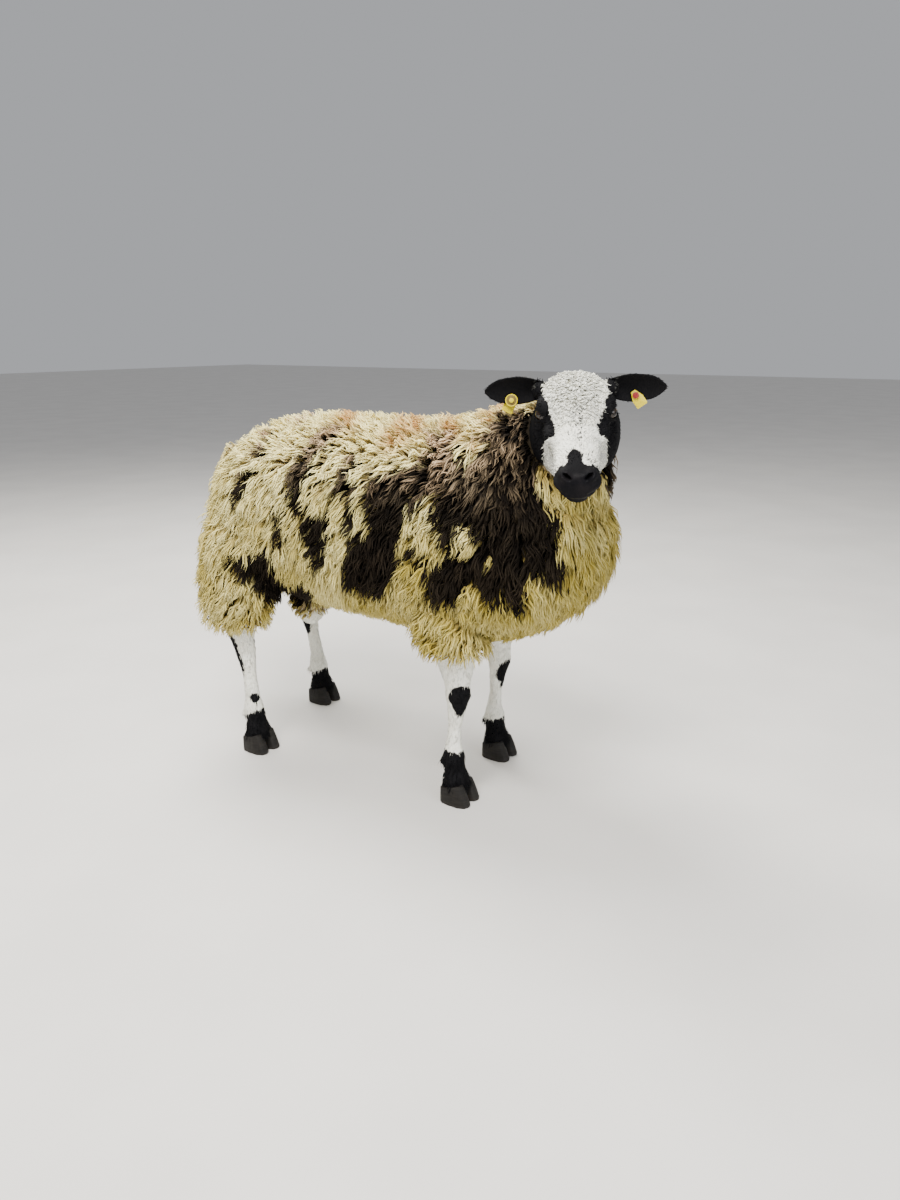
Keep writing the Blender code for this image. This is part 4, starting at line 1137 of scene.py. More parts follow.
def strip_faces(rings):
    """The triangles of one tuft: its root, its sides, and the fan at its tip."""
    faces = [(0, 1, 2)]
    for row in range(rings - 1):
        for k in range(3):
            a = row * 3 + k
            b = row * 3 + (k + 1) % 3
            faces += [(a, a + 3, b + 3), (a, b + 3, b)]
    last = (rings - 1) * 3
    faces += [(last + k, rings * 3, last + (k + 1) % 3) for k in range(3)]
    return np.array(faces, np.int32)


def tuft_mesh(name, paths, sides, widths, flats, colours):
    """Closed tapered strips of three sides along paths, as one mesh.

    paths is (tufts, rows, 3) and its last row is the tip, sides is the way across each tuft,
    widths is the half width at each row before the tip, and the colours' second number is
    replaced by the share along the tuft.
    """
    count, rows, _ = paths.shape
    rings = rows - 1
    per = rings * 3 + 1
    ways = unit(np.gradient(paths, axis=1))
    across = unit(sides[:, None, :] - ways * (ways * sides[:, None, :]).sum(2, keepdims=True))
    over = np.cross(across, ways)
    points = np.zeros((count, per, 3), np.float32)
    for k, (side, lift) in enumerate(((-1.0, -0.25), (1.0, -0.25), (0.0, 0.60))):
        step = across[:, :rings] * side + over[:, :rings] * lift
        points[:, k : rings * 3 : 3] = paths[:, :rings] + step * widths[:, :, None]
    points[:, -1] = paths[:, -1]
    starts = (np.arange(count, dtype=np.int32) * per)[:, None, None]
    corners = (strip_faces(rings)[None] + starts).reshape(-1)
    total = len(corners) // 3
    mesh = bpy.data.meshes.new(name)
    mesh.vertices.add(count * per)
    mesh.vertices.foreach_set("co", points.ravel())
    mesh.loops.add(len(corners))
    mesh.loops.foreach_set("vertex_index", corners)
    mesh.polygons.add(total)
    mesh.polygons.foreach_set("loop_start", np.arange(0, total * 3, 3, dtype=np.int32))
    mesh.update(calc_edges=True)
    mesh.polygons.foreach_set("use_smooth", np.ones(total, bool))
    shares = np.concatenate([np.repeat(np.linspace(0, 1, rows)[:rings], 3), [1.0]])
    turns = np.concatenate([np.tile([-1.0, 1.0, 0.0], rings), [0.0]])
    patch = np.stack([turns * 0.0015, (shares - 0.5) * 0.003], axis=1)
    places = np.clip(flats[:, None, :] + patch[None], 0.001, 0.999).reshape(-1, 2)
    layer = mesh.uv_layers.new(name="OFBake")
    layer.data.foreach_set("uv", places[corners].astype(np.float32).ravel())
    values = np.repeat(colours[:, None, :], per, axis=1)
    values[:, :, 1] = shares
    add_colour(mesh, "coat", values.reshape(-1, 4))
    return link(name, mesh)


def tuft_paths(roots, normals, ways, height, reach, curl, phase, turns, droop, shares):
    """Paths that rise from the skin, bend over along the lie and wave."""
    s = shares[None, :, None]
    side = np.cross(normals, ways)
    rise = normals[:, None] * height[:, None, None] * (1 - (1 - s) ** 1.7)
    along = ways[:, None] * reach[:, None, None] * s**1.6
    angle = 2 * np.pi * (turns[:, None, None] * s + phase[:, None, None])
    wave = side[:, None] * np.sin(angle) + 0.6 * normals[:, None] * np.cos(angle)
    wave = wave * curl[:, None, None] * np.sqrt(s)
    fall = np.array((0.0, 0.0, -1.0)) * droop[:, None, None] * s**2
    return roots[:, None] + rise + along + wave + fall


def turned(ways, normals, angles):
    """Ways turned about the normals."""
    c = np.cos(angles)[:, None]
    s = np.sin(angles)[:, None]
    return ways * c + np.cross(normals, ways) * s


def gathered(roots, centres, paths, shares, pull):
    """Draws each tuft's path towards the path of its staple."""
    offset = (roots - roots[centres])[:, None]
    return paths - offset * (pull[:, None] * shares[None] ** 1.2)[:, :, None]


def fleece_density(places, _normals, head):
    """How thickly the fleece's tufts stand."""
    wool = wool_share(places, head)
    return np.where(wool > 0.10, 0.55 + 0.45 * wool, 0.0)


def fleece_regions(roots, normals, wool):
    """How much each root belongs to the regions where the fleece differs from the flank's."""
    place = unshifted(roots)
    _, y, z = place.T
    across, along, above = on_head(roots)
    by_ear = (np.abs(across) > 0.045) & (above > -0.060)
    from_scrotum = np.linalg.norm((place - np.array(SCROTUM_CENTRE)) / SCROTUM_CLEARING, axis=1)
    return SimpleNamespace(
        wool=wool,
        up=step_between(0.35, 0.85, normals[:, 2]),
        under=step_between(-0.10, -0.75, normals[:, 2]),
        chest=step_between(-0.30, -0.42, y) * step_between(0.76, 0.70, z),
        nape=step_between(-0.22, -0.32, y) * step_between(0.64, 0.72, z),
        rump=step_between(0.30, 0.42, y),
        corner=step_between(0.34, 0.44, y) * step_between(0.58, 0.68, z),
        tail=step_between(0.455, 0.475, y) * step_between(0.70, 0.66, z),
        leg=step_between(0.46, 0.38, z),
        ear=step_between(0.095, 0.060, -along) * by_ear,
        scrotum=step_between(1.15, 0.85, from_scrotum),
    )


def fleece_paths(coat, roots, normals, centres, each, at):
    """The tufts' paths and the way across each tuft. at holds the regions' shares."""
    own = each[centres]
    size = (0.35 + 0.65 * at.wool) * (1 - 0.55 * at.scrotum) * (1 - 0.45 * at.ear)
    height = coat.depth * size * (1 - 0.30 * at.nape) * (1 - 0.25 * at.rump)
    height *= (1 - 0.25 * at.chest) * (1 - 0.45 * at.tail) * (1 - 0.40 * at.corner)
    height *= (1 - 0.35 * at.under) * (0.84 + 0.26 * own[:, 0]) * (0.88 + 0.18 * each[:, 4])
    reach = coat.reach * size * (1 - 0.58 * at.up) * (1 + 0.15 * at.chest) * (1 - 0.35 * at.nape)
    reach *= (1 - 0.30 * at.under) * (1 - 0.15 * at.leg) * (0.75 + 0.5 * own[:, 1])
    reach *= (0.82 + 0.36 * each[:, 5]) * (1 - 0.40 * at.tail) * (1 - 0.20 * at.corner)
    curl = (0.0034 + 0.0010 * at.rump + 0.0010 * at.nape) * size * (0.5 + 1.0 * own[:, 2])
    turns = 1.5 + 0.8 * own[:, 3] + 0.4 * at.nape
    sway = (own[:, 4] - 0.5) * (1.1 + 0.8 * at.up + 0.5 * at.rump) + (each[:, 3] - 0.5) * 0.55
    ways = turned(lie_ways(roots, normals)[centres], normals[centres], sway)
    droop = 0.008 * at.wool * (1 - at.up) * (1 - 0.5 * at.leg) + 0.022 * at.tail
    paths = tuft_paths(
        roots, normals, ways, height, reach, curl, own[:, 5], turns, droop, FLEECE_SHARES
    )
    paths = gathered(roots, centres, paths, FLEECE_SHARES, 0.80 - 0.25 * at.up)
    # A tuft on a steep place that still lies level would stand out of the coat, so it is shorter.
    span = paths[:, -1] - roots
    level = span[:, 2] > -0.30 * np.linalg.norm(span, axis=1)
    stray = level & (normals[:, 2] < 0.50) & (normals[:, 2] > -0.5)
    paths[stray] = roots[stray, None] + 0.55 * (paths[stray] - roots[stray, None])
    return paths, np.cross(normals, ways)


def fleece_colours(tips, own, each, nape):
    """The tufts' numbers for the attributes coat and extra."""
    jitter = (own[:, 2] - 0.5) * 0.010 + (each[:, 0] - 0.5) * 0.006
    dark = step_between(-0.003, 0.003, body_marks(tips) + jitter)
    chance = 0.6 * own[:, 0] + 0.4 * each[:, 1]
    height = unshifted(tips)[:, 2]
    bleach = 0.02 + 0.95 * step_between(0.60, 0.73, height) * (1 - 0.55 * nape)
    bleach = np.clip(bleach * (0.60 + 0.8 * own[:, 1]), 0, 1)
    tan = step_between(0.66, 0.74, height) * (0.5 + 0.7 * own[:, 0]) * (1 - 0.8 * nape)
    # The fourth number of coat is the share of dirt and painted shade of the light wool.
    coat = np.stack([dark, np.zeros(len(tips)), chance, stain_and_shade_share(tips)], axis=1)
    extra = (bleach, rust_share(tips), np.clip(tan, 0, 1), np.ones(len(tips)))
    return coat, np.stack(extra, axis=1)


def poll_density(places, normals, head):
    """How thickly curls stand: on top of the head between the dark sides."""
    x, along, _ = on_head(places)
    inner = np.interp(along, *zip(*BLAZE)) - np.abs(x)
    top = (normals @ head_axes()[:, 2]) > 0.05
    wanted = head & (inner > 0.003) & (along < 0.115) & top
    return np.where(wanted, 1 - 0.60 * step_between(0.045, 0.115, along), 0.0)


def poll_curls(surface, draw):
    """Short curls of the poll and forehead, as tuft_mesh takes them."""
    roots, normals, flats, _ = scatter(surface, draw, POLL_CURLS, poll_density)
    x, along, _ = on_head(roots)
    face = step_between(0.035, 0.100, along)
    centres = staples_of(roots, POLL_STAPLE, draw)
    each = draw.random((POLL_CURLS, 6))
    own = each[centres]
    axes = head_axes()
    way = np.tile(axes @ np.array((0.0, -1.0, 0.0)), (POLL_CURLS, 1))
    way = way + (axes @ np.array((1.0, 0.0, 0.0))) * np.sign(x)[:, None] * 0.5
    ways = turned(unit(on_skin(way, normals)), normals, (own[:, 4] - 0.5) * 2.4)
    height = (0.0066 - 0.0042 * face) * (0.7 + 0.6 * own[:, 0])
    height = height * (1 - 0.5 * step_between(0.022, 0.045, np.abs(x)))
    reach = (0.0090 - 0.0025 * face) * (0.7 + 0.6 * own[:, 1])
    curl = (0.0018 - 0.0010 * face) * (0.6 + 0.8 * own[:, 2])
    turns = 0.9 + 0.6 * own[:, 3]
    paths = tuft_paths(
        roots, normals, ways, height, reach, curl, own[:, 5], turns, face * 0, CURL_SHARES
    )
    paths = gathered(roots, centres, paths, CURL_SHARES, np.full(POLL_CURLS, 0.7))
    widths = (0.0013 - 0.0004 * face)[:, None] * (0.7 + 0.6 * each[:, 2:3]) * CURL_PROFILE
    dark = step_between(-0.001, 0.001, face_marks(roots) + (each[:, 0] - 0.5) * 0.003)
    fleck = each[:, 5] + 0.46 * flecked(x, along, CURL_FLECKS) > 1.02
    dark = np.maximum(dark, FLECK_DARK * fleck)
    colours = np.stack([dark, dark, 0.5 * own[:, 0] + 0.5 * each[:, 1], dark * 0], axis=1)
    return paths, np.cross(normals, ways), widths, flats, colours


def hair_density(places, normals, head):
    """How thickly short hairs stand: on the face, the backs of the ears and the bare legs."""
    x, along, _ = on_head(places)
    axes = head_axes()
    poll = (np.abs(x) < 0.05) & (along < 0.06) & (normals @ axes[:, 2] > 0.1)
    nose = along > 0.196
    cup = (np.abs(x) > 0.070) & (normals @ axes[:, 1] < 0.0)
    on_face = head & ~poll & ~nose & ~cup
    on_leg = ~head & (wool_share(places, head) < 0.5) & (places[:, 2] > 0.036)
    crown = step_between(0.052, 0.042, places[:, 2])
    return np.where(on_face, 1.6, 0.0) + np.where(on_leg, 1.0 + 2.0 * crown, 0.0)


def short_hairs(surface, draw):
    """Short hair of face, ears and legs, longer over fetlock and hoof, as tuft_mesh takes it."""
    roots, normals, flats, head = scatter(surface, draw, SHORT_HAIRS, hair_density)
    x, along, above = on_head(roots)
    height_there = unshifted(roots)[:, 2]
    ear = head & (np.abs(x) > 0.066)
    each = draw.random((SHORT_HAIRS, 6))
    axes = head_axes()
    outward = axes @ np.array((1.0, 0.0, -0.1))
    back = axes @ np.array((0.0, 1.0, -0.7))
    way = np.where(head[:, None], back[None], np.array((0.0, 0.10, -1.0)))
    way = np.where(ear[:, None], outward[None] * np.sign(x)[:, None], way)
    ways = turned(unit(on_skin(way, normals)), normals, (each[:, 4] - 0.5) * 0.7)
    fetlock = step_between(0.105, 0.085, height_there) * step_between(0.040, 0.055, height_there)
    fetlock = ~head * fetlock
    coronet = ~head * step_between(0.052, 0.040, height_there)
    long = 1 + 0.8 * fetlock + 0.9 * coronet
    height = 0.0016 * (0.6 + 0.8 * each[:, 0]) * long * (1 + 1.2 * coronet)
    reach = np.where(ear, 0.0050, 0.0078) * (0.7 + 0.6 * each[:, 1]) * long
    one = np.ones(SHORT_HAIRS)
    paths = tuft_paths(
        roots - normals * 0.0005, normals, ways, height, reach, one * 0.0003,
        each[:, 5], one, one * 0, HAIR_SHARES,
    )
    widths = 0.00085 * (0.7 + 0.6 * each[:, 2:3]) * HAIR_PROFILE
    field = dark_field(roots, head, one * 0)
    dark = step_between(-0.001, 0.001, field + (each[:, 0] - 0.5) * 0.004)
    fleck = head & (each[:, 5] + 0.50 * flecked(x, along, HAIR_FLECKS) > 1.01)
    dark = np.maximum(dark, FLECK_DARK * fleck)
    grey = 1.0 * (ear & (np.abs(x) < 0.088) & (above > 0.010))
    dark = np.where(ear, 1.0 - 0.12 * grey, dark)
    colours = np.stack([dark, dark, each[:, 1], grey], axis=1)
    return paths, np.cross(normals, ways), widths, flats, colours


# Materials


class Graph:
    """A short way to wire a material's nodes."""

    def __init__(self, name):
        self.material = bpy.data.materials.new(name)
        self.material.use_nodes = True
        self.tree = self.material.node_tree
        self.shader = self.tree.nodes["Principled BSDF"]

    def add(self, kind, **values):
        node = self.tree.nodes.new(kind)
        for key, value in values.items():
            setattr(node, key, value)
        return node

    def join(self, source, socket):
        """Links a socket's source, or sets its value."""
        if isinstance(source, bpy.types.NodeSocket):
            self.tree.links.new(source, socket)
        else:
            socket.default_value = source

    def join_all(self, node, *sources):
        for socket, source in zip(node.inputs, sources):
            self.join(source, socket)
        return node.outputs[0]

    def math(self, operation, a, b=0.0, clamp=False):
        node = self.add("ShaderNodeMath", operation=operation, use_clamp=clamp)
        return self.join_all(node, a, b)

    def times(self, a, b):
        return self.math("MULTIPLY", a, b)

    def span(self, value, low, high, to_low=0.0, to_high=1.0):
        node = self.add("ShaderNodeMapRange", interpolation_type="SMOOTHSTEP")
        return self.join_all(node, value, low, high, to_low, to_high)

    def mix(self, share, a, b):
        node = self.add("ShaderNodeMix", data_type="RGBA")
        self.join(share, node.inputs[0])
        for socket, value in ((node.inputs[6], a), (node.inputs[7], b)):
            self.join(value if isinstance(value, bpy.types.NodeSocket) else (*value, 1.0), socket)
        return node.outputs[2]

    def toned(self, colour, tone):
        node = self.add("ShaderNodeVectorMath", operation="SCALE")
        self.join(colour, node.inputs[0])
        self.join(tone, node.inputs["Scale"])
        return node.outputs[0]

    def noise(self, scale, detail=3.0, stretch=(1.0, 1.0, 1.0)):
        place = self.add("ShaderNodeTexCoord").outputs["Object"]
        mapping = self.add("ShaderNodeMapping")
        mapping.inputs["Scale"].default_value = stretch
        self.join(place, mapping.inputs["Vector"])
        node = self.add("ShaderNodeTexNoise")
        self.join(mapping.outputs[0], node.inputs["Vector"])
        node.inputs["Scale"].default_value = scale
        node.inputs["Detail"].default_value = detail
        return node.outputs["Fac"]

    def attribute(self, name):
        """The four numbers of a colour attribute."""
        node = self.add("ShaderNodeAttribute", attribute_name=name)
        split = self.add("ShaderNodeSeparateColor")
        self.join(node.outputs["Color"], split.inputs[0])
        return (*split.outputs, node.outputs["Alpha"])

    def bump(self, height, strength, distance):
        node = self.add("ShaderNodeBump")
        node.inputs["Strength"].default_value = strength
        node.inputs["Distance"].default_value = distance
        self.join(height, node.inputs["Height"])
        self.join(node.outputs[0], self.shader.inputs["Normal"])

    def finish(self, colour, roughness, specular, **values):
        """Wires the shader: values are sockets' names, with _ for a space, and their values."""
        self.join(colour, self.shader.inputs["Base Color"])
        self.join(roughness, self.shader.inputs["Roughness"])
        self.shader.inputs["Specular IOR Level"].default_value = specular
        for key, value in values.items():
            self.shader.inputs[key.replace("_", " ")].default_value = value
        return self.material


def wool_material(name, coat):
    """Wool of the tufts: cream or dark by the markings, dirtier and with painted shade low down,
    with painted shade at the roots, paler at the tips.
    """
    g = Graph(name)
    dark, tip, chance, stain_and_shade = g.attribute("coat")
    bleached, rusty, tan, _ = g.attribute("extra")
    fine = g.noise(420.0, 3.0, (1.0, 1.0, 0.35))
    broad = g.noise(11.0, 4.0)
    # Light wool, from its root, darkened by painted shade between the staples, to its sunlit tip
    # dirt holds the share of dirt and painted shade, with broad random patches.
    dirt = g.math("ADD", stain_and_shade, g.span(broad, 0.35, 0.70, -0.20, 0.24), clamp=True)
    light = g.mix(dirt, coat.cream, coat.stained_and_shaded)
    # Painted shade at the roots, between the staples, darker still where the wool is stained and
    # shaded.
    painted_root_shade = g.mix(g.span(stain_and_shade, 0.10, 0.45), (0.64, 0.53, 0.27), (0.34, 0.25, 0.07))
    root = g.mix(g.span(tip, 0.15, 0.80), painted_root_shade, light)
    sunlit = g.times(g.span(tip, 0.6, 1.0), g.span(dirt, 0.0, 0.8, 0.45, 0.20))
    pale = g.mix(sunlit, root, (0.98, 0.91, 0.53))
    pale = g.mix(g.times(rusty, g.span(tip, 0.2, 0.8)), pale, (0.56, 0.29, 0.10))
    # Dark wool, bleached from the tip down
    reach = g.span(chance, 0.05, 0.95, -0.25, 0.20)
    bleach = g.times(g.span(g.math("ADD", tip, reach), 0.45, 1.05), bleached)
    deep = g.mix(bleach, coat.dark, coat.bleached)
    warm = g.span(broad, 0.40, 0.65, 0.0, 0.6)
    deep = g.mix(g.times(warm, bleach), deep, (0.24, 0.135, 0.075))
    sunny = g.times(tan, g.span(tip, 0.25, 0.85))
    deep = g.mix(g.times(sunny, 0.88), deep, (0.68, 0.49, 0.30))
    shade = g.span(chance, 0.0, 1.0, 0.86, 1.10)
    tone = g.times(shade, g.span(fine, 0.25, 0.75, 0.84, 1.10))
    g.bump(fine, 0.35, 0.0008)
    return g.finish(g.toned(g.mix(dark, pale, deep), tone), 0.84, 0.04)


def hair_material(name, coat):
    """Short hair of face and legs: white or black by the markings."""
    g = Graph(name)
    dark, tip, chance, grey = g.attribute("coat")
    white = g.mix(g.times(grey, 0.75), coat.white, (0.30, 0.29, 0.27))
    white = g.mix(g.span(tip, 0.0, 0.7, 0.30, 0.0), white, (0.66, 0.62, 0.50))
    colour = g.mix(dark, white, coat.black)
    g.bump(g.noise(600.0, 2.0), 0.3, 0.0005)
    return g.finish(g.toned(colour, g.span(chance, 0.0, 1.0, 0.78, 1.12)), 0.72, 0.05)


def skin_material(name, coat):
    """Skin under the wool and the short flat hair of face and legs."""
    g = Graph(name)
    field, wool, stain_and_shade, _ = g.attribute("marks")
    leather, speckle, grey, _ = g.attribute("zones")
    rough_edge = g.noise(150.0, 3.0, (1.0, 1.0, 0.5))
    dark = g.span(g.math("ADD", field, g.span(rough_edge, 0.2, 0.8, -0.055, 0.055)), 0.47, 0.53)
    hair = g.noise(520.0, 3.0, (1.0, 1.0, 0.28))
    patchy = g.noise(34.0, 4.0)
    flecks = g.noise(260.0, 2.0)
    white = g.mix(g.span(patchy, 0.35, 0.75, 0.0, 0.35), coat.white, (0.56, 0.50, 0.40))
    white = g.mix(g.times(grey, 0.55), white, (0.26, 0.25, 0.24))
    white = g.mix(g.times(g.span(flecks, 0.53, 0.60), speckle), white, (0.035, 0.032, 0.030))
    black = g.mix(g.span(hair, 0.3, 0.8, 0.0, 0.5), coat.black, (0.010, 0.009, 0.009))
    nose = g.mix(g.span(patchy, 0.4, 0.7), (0.004, 0.004, 0.005), (0.009, 0.008, 0.009))
    short = g.mix(leather, g.mix(dark, white, black), nose)
    under = g.mix(dark, (0.42, 0.33, 0.18), (0.010, 0.008, 0.007))
    # The skin under the wool darkens with the same share of dirt and painted shade as the wool.
    under = g.mix(g.times(stain_and_shade, 0.5), under, (0.20, 0.15, 0.06))
    colour = g.mix(g.span(wool, 0.05, 0.35), short, under)
    g.bump(hair, 0.5, 0.0008)
    tone = g.span(hair, 0.25, 0.75, 0.84, 1.08)
    return g.finish(g.toned(colour, tone), g.span(leather, 0.0, 1.0, 0.72, 0.40), 0.04)


def eye_material(name, iris):
    """A dark iris with a level slit of a pupil, by the eye's own attribute."""
    g = Graph(name)
    node = g.add("ShaderNodeAttribute", attribute_name="eye")
    split = g.add("ShaderNodeSeparateXYZ")
    g.join(node.outputs["Vector"], split.inputs[0])
    along, up, front = split.outputs
    wide = g.math("POWER", g.math("ABSOLUTE", g.times(along, 1 / PUPIL[0])), 4.0)
    tall = g.math("POWER", g.math("ABSOLUTE", g.times(up, 1 / PUPIL[1])), 2.5)
    pupil = g.span(g.math("ADD", wide, tall), 0.75, 1.15, 1.0, 0.0)
    pupil = g.times(pupil, g.span(front, 0.2, 0.4))
    rays = g.noise(900.0, 3.0)
    colour = g.mix(g.span(rays, 0.3, 0.7), iris, (0.021, 0.011, 0.005))
    colour = g.mix(g.span(front, 0.62, 0.72, 1.0, 0.0), colour, (0.012, 0.009, 0.008))
    colour = g.mix(pupil, colour, (0.002, 0.002, 0.003))
    return g.finish(colour, 0.16, 0.25, Coat_Weight=0.35, Coat_Roughness=0.03)


def hoof_material(name, horn):
    """Horn with growth rings, paler and dirtier towards the sole."""
    g = Graph(name)
    rings = g.noise(60.0, 4.0, (0.6, 0.6, 6.0))
    streaks = g.noise(260.0, 3.0, (1.0, 1.0, 0.15))
    colour = g.mix(g.span(rings, 0.35, 0.70), horn, (0.016, 0.014, 0.012))
    colour = g.mix(g.span(streaks, 0.55, 0.80, 0.0, 0.6), colour, (0.007, 0.007, 0.007))
    place = g.add("ShaderNodeSeparateXYZ")
    g.join(g.add("ShaderNodeTexCoord").outputs["Object"], place.inputs[0])
    colour = g.mix(g.span(place.outputs[2], 0.0, 0.010, 0.6, 0.0), colour, (0.030, 0.026, 0.021))
    g.bump(rings, 0.45, 0.0012)
    return g.finish(colour, g.span(streaks, 0.3, 0.8, 0.50, 0.70), 0.2)


def plastic_material(name, tint):
    """Tag plastic, a little scuffed and dirty."""
    g = Graph(name)
    dirt = g.noise(160.0, 4.0)
    scuffs = g.noise(700.0, 2.0, (1.0, 1.0, 0.2))
    shadow = tuple(value * 0.45 for value in tint)
    colour = g.mix(g.span(dirt, 0.56, 0.78, 0.0, 0.6), tint, shadow)
    g.bump(scuffs, 0.15, 0.0003)
    glow = {"Subsurface_Weight": 0.1, "Subsurface_Radius": (0.003, 0.002, 0.001)}
    return g.finish(colour, g.span(scuffs, 0.3, 0.8, 0.34, 0.52), 0.5, **glow)


def dress(obj, material, slot, *replaced):
    """Gives a finished piece its material and its body, and hides the nodes it stands for. The slot
    is not used.
    """
    obj.data.materials.clear()
    obj.data.materials.append(material)
    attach(obj, BODY)
    if replaced:
        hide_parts(*replaced)


# Operators


class RAM_OT_skin(bpy.types.Operator):
    """Make the skin of body, legs, head and ears as one piece"""

    bl_idname = "ram.skin"
    bl_label = "Skin"

    def execute(self, context):
        coat = context.scene.ram_coat
        body = body_skin()
        points, normals = mesh_points(body.data)
        wool = wool_share(points, np.zeros(len(points), bool))
        inset = HAIR_INSET + WOOL_INSET * wool
        set_points(body.data, points - normals * inset[:, None])
        head = head_skin(context.scene.ram_parts.eye_radius)
        head_tree = BVHTree.FromObject(head, context.evaluated_depsgraph_get())
        join_by(body, [head], "UNION")
        split = body.modifiers.new("split", "TRIANGULATE")
        split.quad_method = "FIXED"
        apply_all(body)
        body.name = "skin"
        body.data.name = "skin"
        bpy.ops.object.shade_smooth()
        for layer in list(body.data.uv_layers):
            body.data.uv_layers.remove(layer)
        body.data.uv_layers.new(name="OFBake")
        bpy.ops.object.mode_set(mode="EDIT")
        bpy.ops.mesh.select_all(action="SELECT")
        bpy.ops.uv.smart_project(angle_limit=math.radians(66), island_margin=0.002)
        bpy.ops.object.mode_set(mode="OBJECT")
        points, _ = mesh_points(body.data)
        head = np.array([head_tree.find_nearest(p, HEAD_TOUCH)[0] is not None for p in points])
        paint_skin(body, head, coat)
        legs = [f"leg_{leg}" for leg, *_ in LEGS]
        flesh = ["head", "neck", "torso", "tail", "scrotum", "ear_left", "ear_right", *legs]
        dress(body, skin_material("skin_and_short_hair", coat), "face_hair", *flesh)
        return {"FINISHED"}


class RAM_OT_fleece(bpy.types.Operator):
    """Set the fleece on the skin as tufts that gather into pointed staples"""

    bl_idname = "ram.fleece"
    bl_label = "Fleece"

    def execute(self, context):
        coat = context.scene.ram_coat
        draw = np.random.default_rng(FLEECE_SEED)
        surface = skin_triangles(bpy.data.objects["skin"])
        roots, normals, flats, head = scatter(surface, draw, coat.tufts, fleece_density)
        wool = wool_share(roots, head)
        centres = staples_of(roots, coat.staple, draw)
        each = draw.random((coat.tufts, 6))
        at = fleece_regions(roots, normals, wool)
        paths, sides = fleece_paths(coat, roots, normals, centres, each, at)
        widths = coat.width * (0.55 + 0.45 * wool)[:, None] * (0.65 + 0.7 * each[:, 2:3])
        widths = widths * FLEECE_PROFILE
        colours, extra = fleece_colours(paths[:, MARKED_ROW], each[centres], each, at.nape)
        material = wool_material("wool", coat)
        pieces = math.ceil(coat.tufts * TUFT_TRIANGLES / PIECE_TRIANGLES)
        order = np.argsort(unshifted(roots)[:, 1])
        for k, part in enumerate(np.array_split(order, pieces)):
            obj = tuft_mesh(
                f"fleece_{k + 1}", paths[part], sides[part], widths[part], flats[part],
                colours[part],
            )
            per = len(obj.data.vertices) // len(part)
            add_colour(obj.data, "extra", np.repeat(extra[part], per, axis=0))
            dress(obj, material, "fleece")
        return {"FINISHED"}


class RAM_OT_hair(bpy.types.Operator):
    """Set the curls of the poll and the short hair of face, ears and legs"""

    bl_idname = "ram.hair"
    bl_label = "Poll and short hair"

    def execute(self, context):
        draw = np.random.default_rng(HAIR_SEED)
        surface = skin_triangles(bpy.data.objects["skin"])
        material = hair_material("short_hair", context.scene.ram_coat)
        dress(tuft_mesh("poll_wool", *poll_curls(surface, draw)), material, "face_hair")
        dress(tuft_mesh("short_hair", *short_hairs(surface, draw)), material, "leg_hair")
        return {"FINISHED"}


class RAM_OT_eyes(bpy.types.Operator):
    """Make both eyes, with a cornea and a level pupil"""

    bl_idname = "ram.eyes"
    bl_label = "Eyes"

    def execute(self, context):
        parts = context.scene.ram_parts
        material = eye_material("eye", parts.iris)
        radius = parts.eye_radius - GAP
        for side, word in SIDES:
            bpy.ops.mesh.primitive_uv_sphere_add(segments=48, ring_count=32, radius=1.0)
            obj = context.object
            obj.name = f"eyeball_{word}"
            points, _ = mesh_points(obj.data)
            attribute = obj.data.attributes.new("eye", "FLOAT_VECTOR", "POINT")
            attribute.data.foreach_set("vector", points.astype(np.float32).ravel())
            cornea = 1 + 0.06 * step_between(0.78, 1.0, points[:, 2])
            set_points(obj.data, points * (radius * cornea)[:, None])
            along, facing = eye_axes(side)
            up = facing.cross(along).normalized()
            turn = Matrix((along, up, facing)).transposed().to_4x4()
            place = Matrix.Translation(to_side(EYE_PLACE, side)) @ turn
            obj.data.transform(head_matrix() @ place)
            only(obj)
            bpy.ops.object.shade_smooth()
            dress(obj, material, "eye", f"eye_{word}")
        return {"FINISHED"}


class RAM_OT_hooves(bpy.types.Operator):
    """Round off the eight claws of the hooves and give them horn"""

    bl_idname = "ram.hooves"
    bl_label = "Hooves"

    def execute(self, context):
        material = hoof_material("horn", context.scene.ram_parts.horn)
        for leg, *_ in LEGS:
            for word in ("outer", "inner"):
                node = f"claw_{leg}_{word}"
                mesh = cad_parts[node].data.copy()
                obj = link(f"hoof_{leg}_{word}", mesh)
                work = bmesh.new()
                work.from_mesh(mesh)
                bmesh.ops.remove_doubles(work, verts=work.verts, dist=0.00005)
                bmesh.ops.dissolve_limit(
                    work, angle_limit=math.radians(1), verts=work.verts, edges=work.edges
                )
                work.to_mesh(mesh)
                work.free()
                bevelled(obj, HOOF_EDGE, 3, angle_limit=math.radians(25))
                shade_by_angle(obj)
                dress(obj, material, "hoof", node)
        return {"FINISHED"}


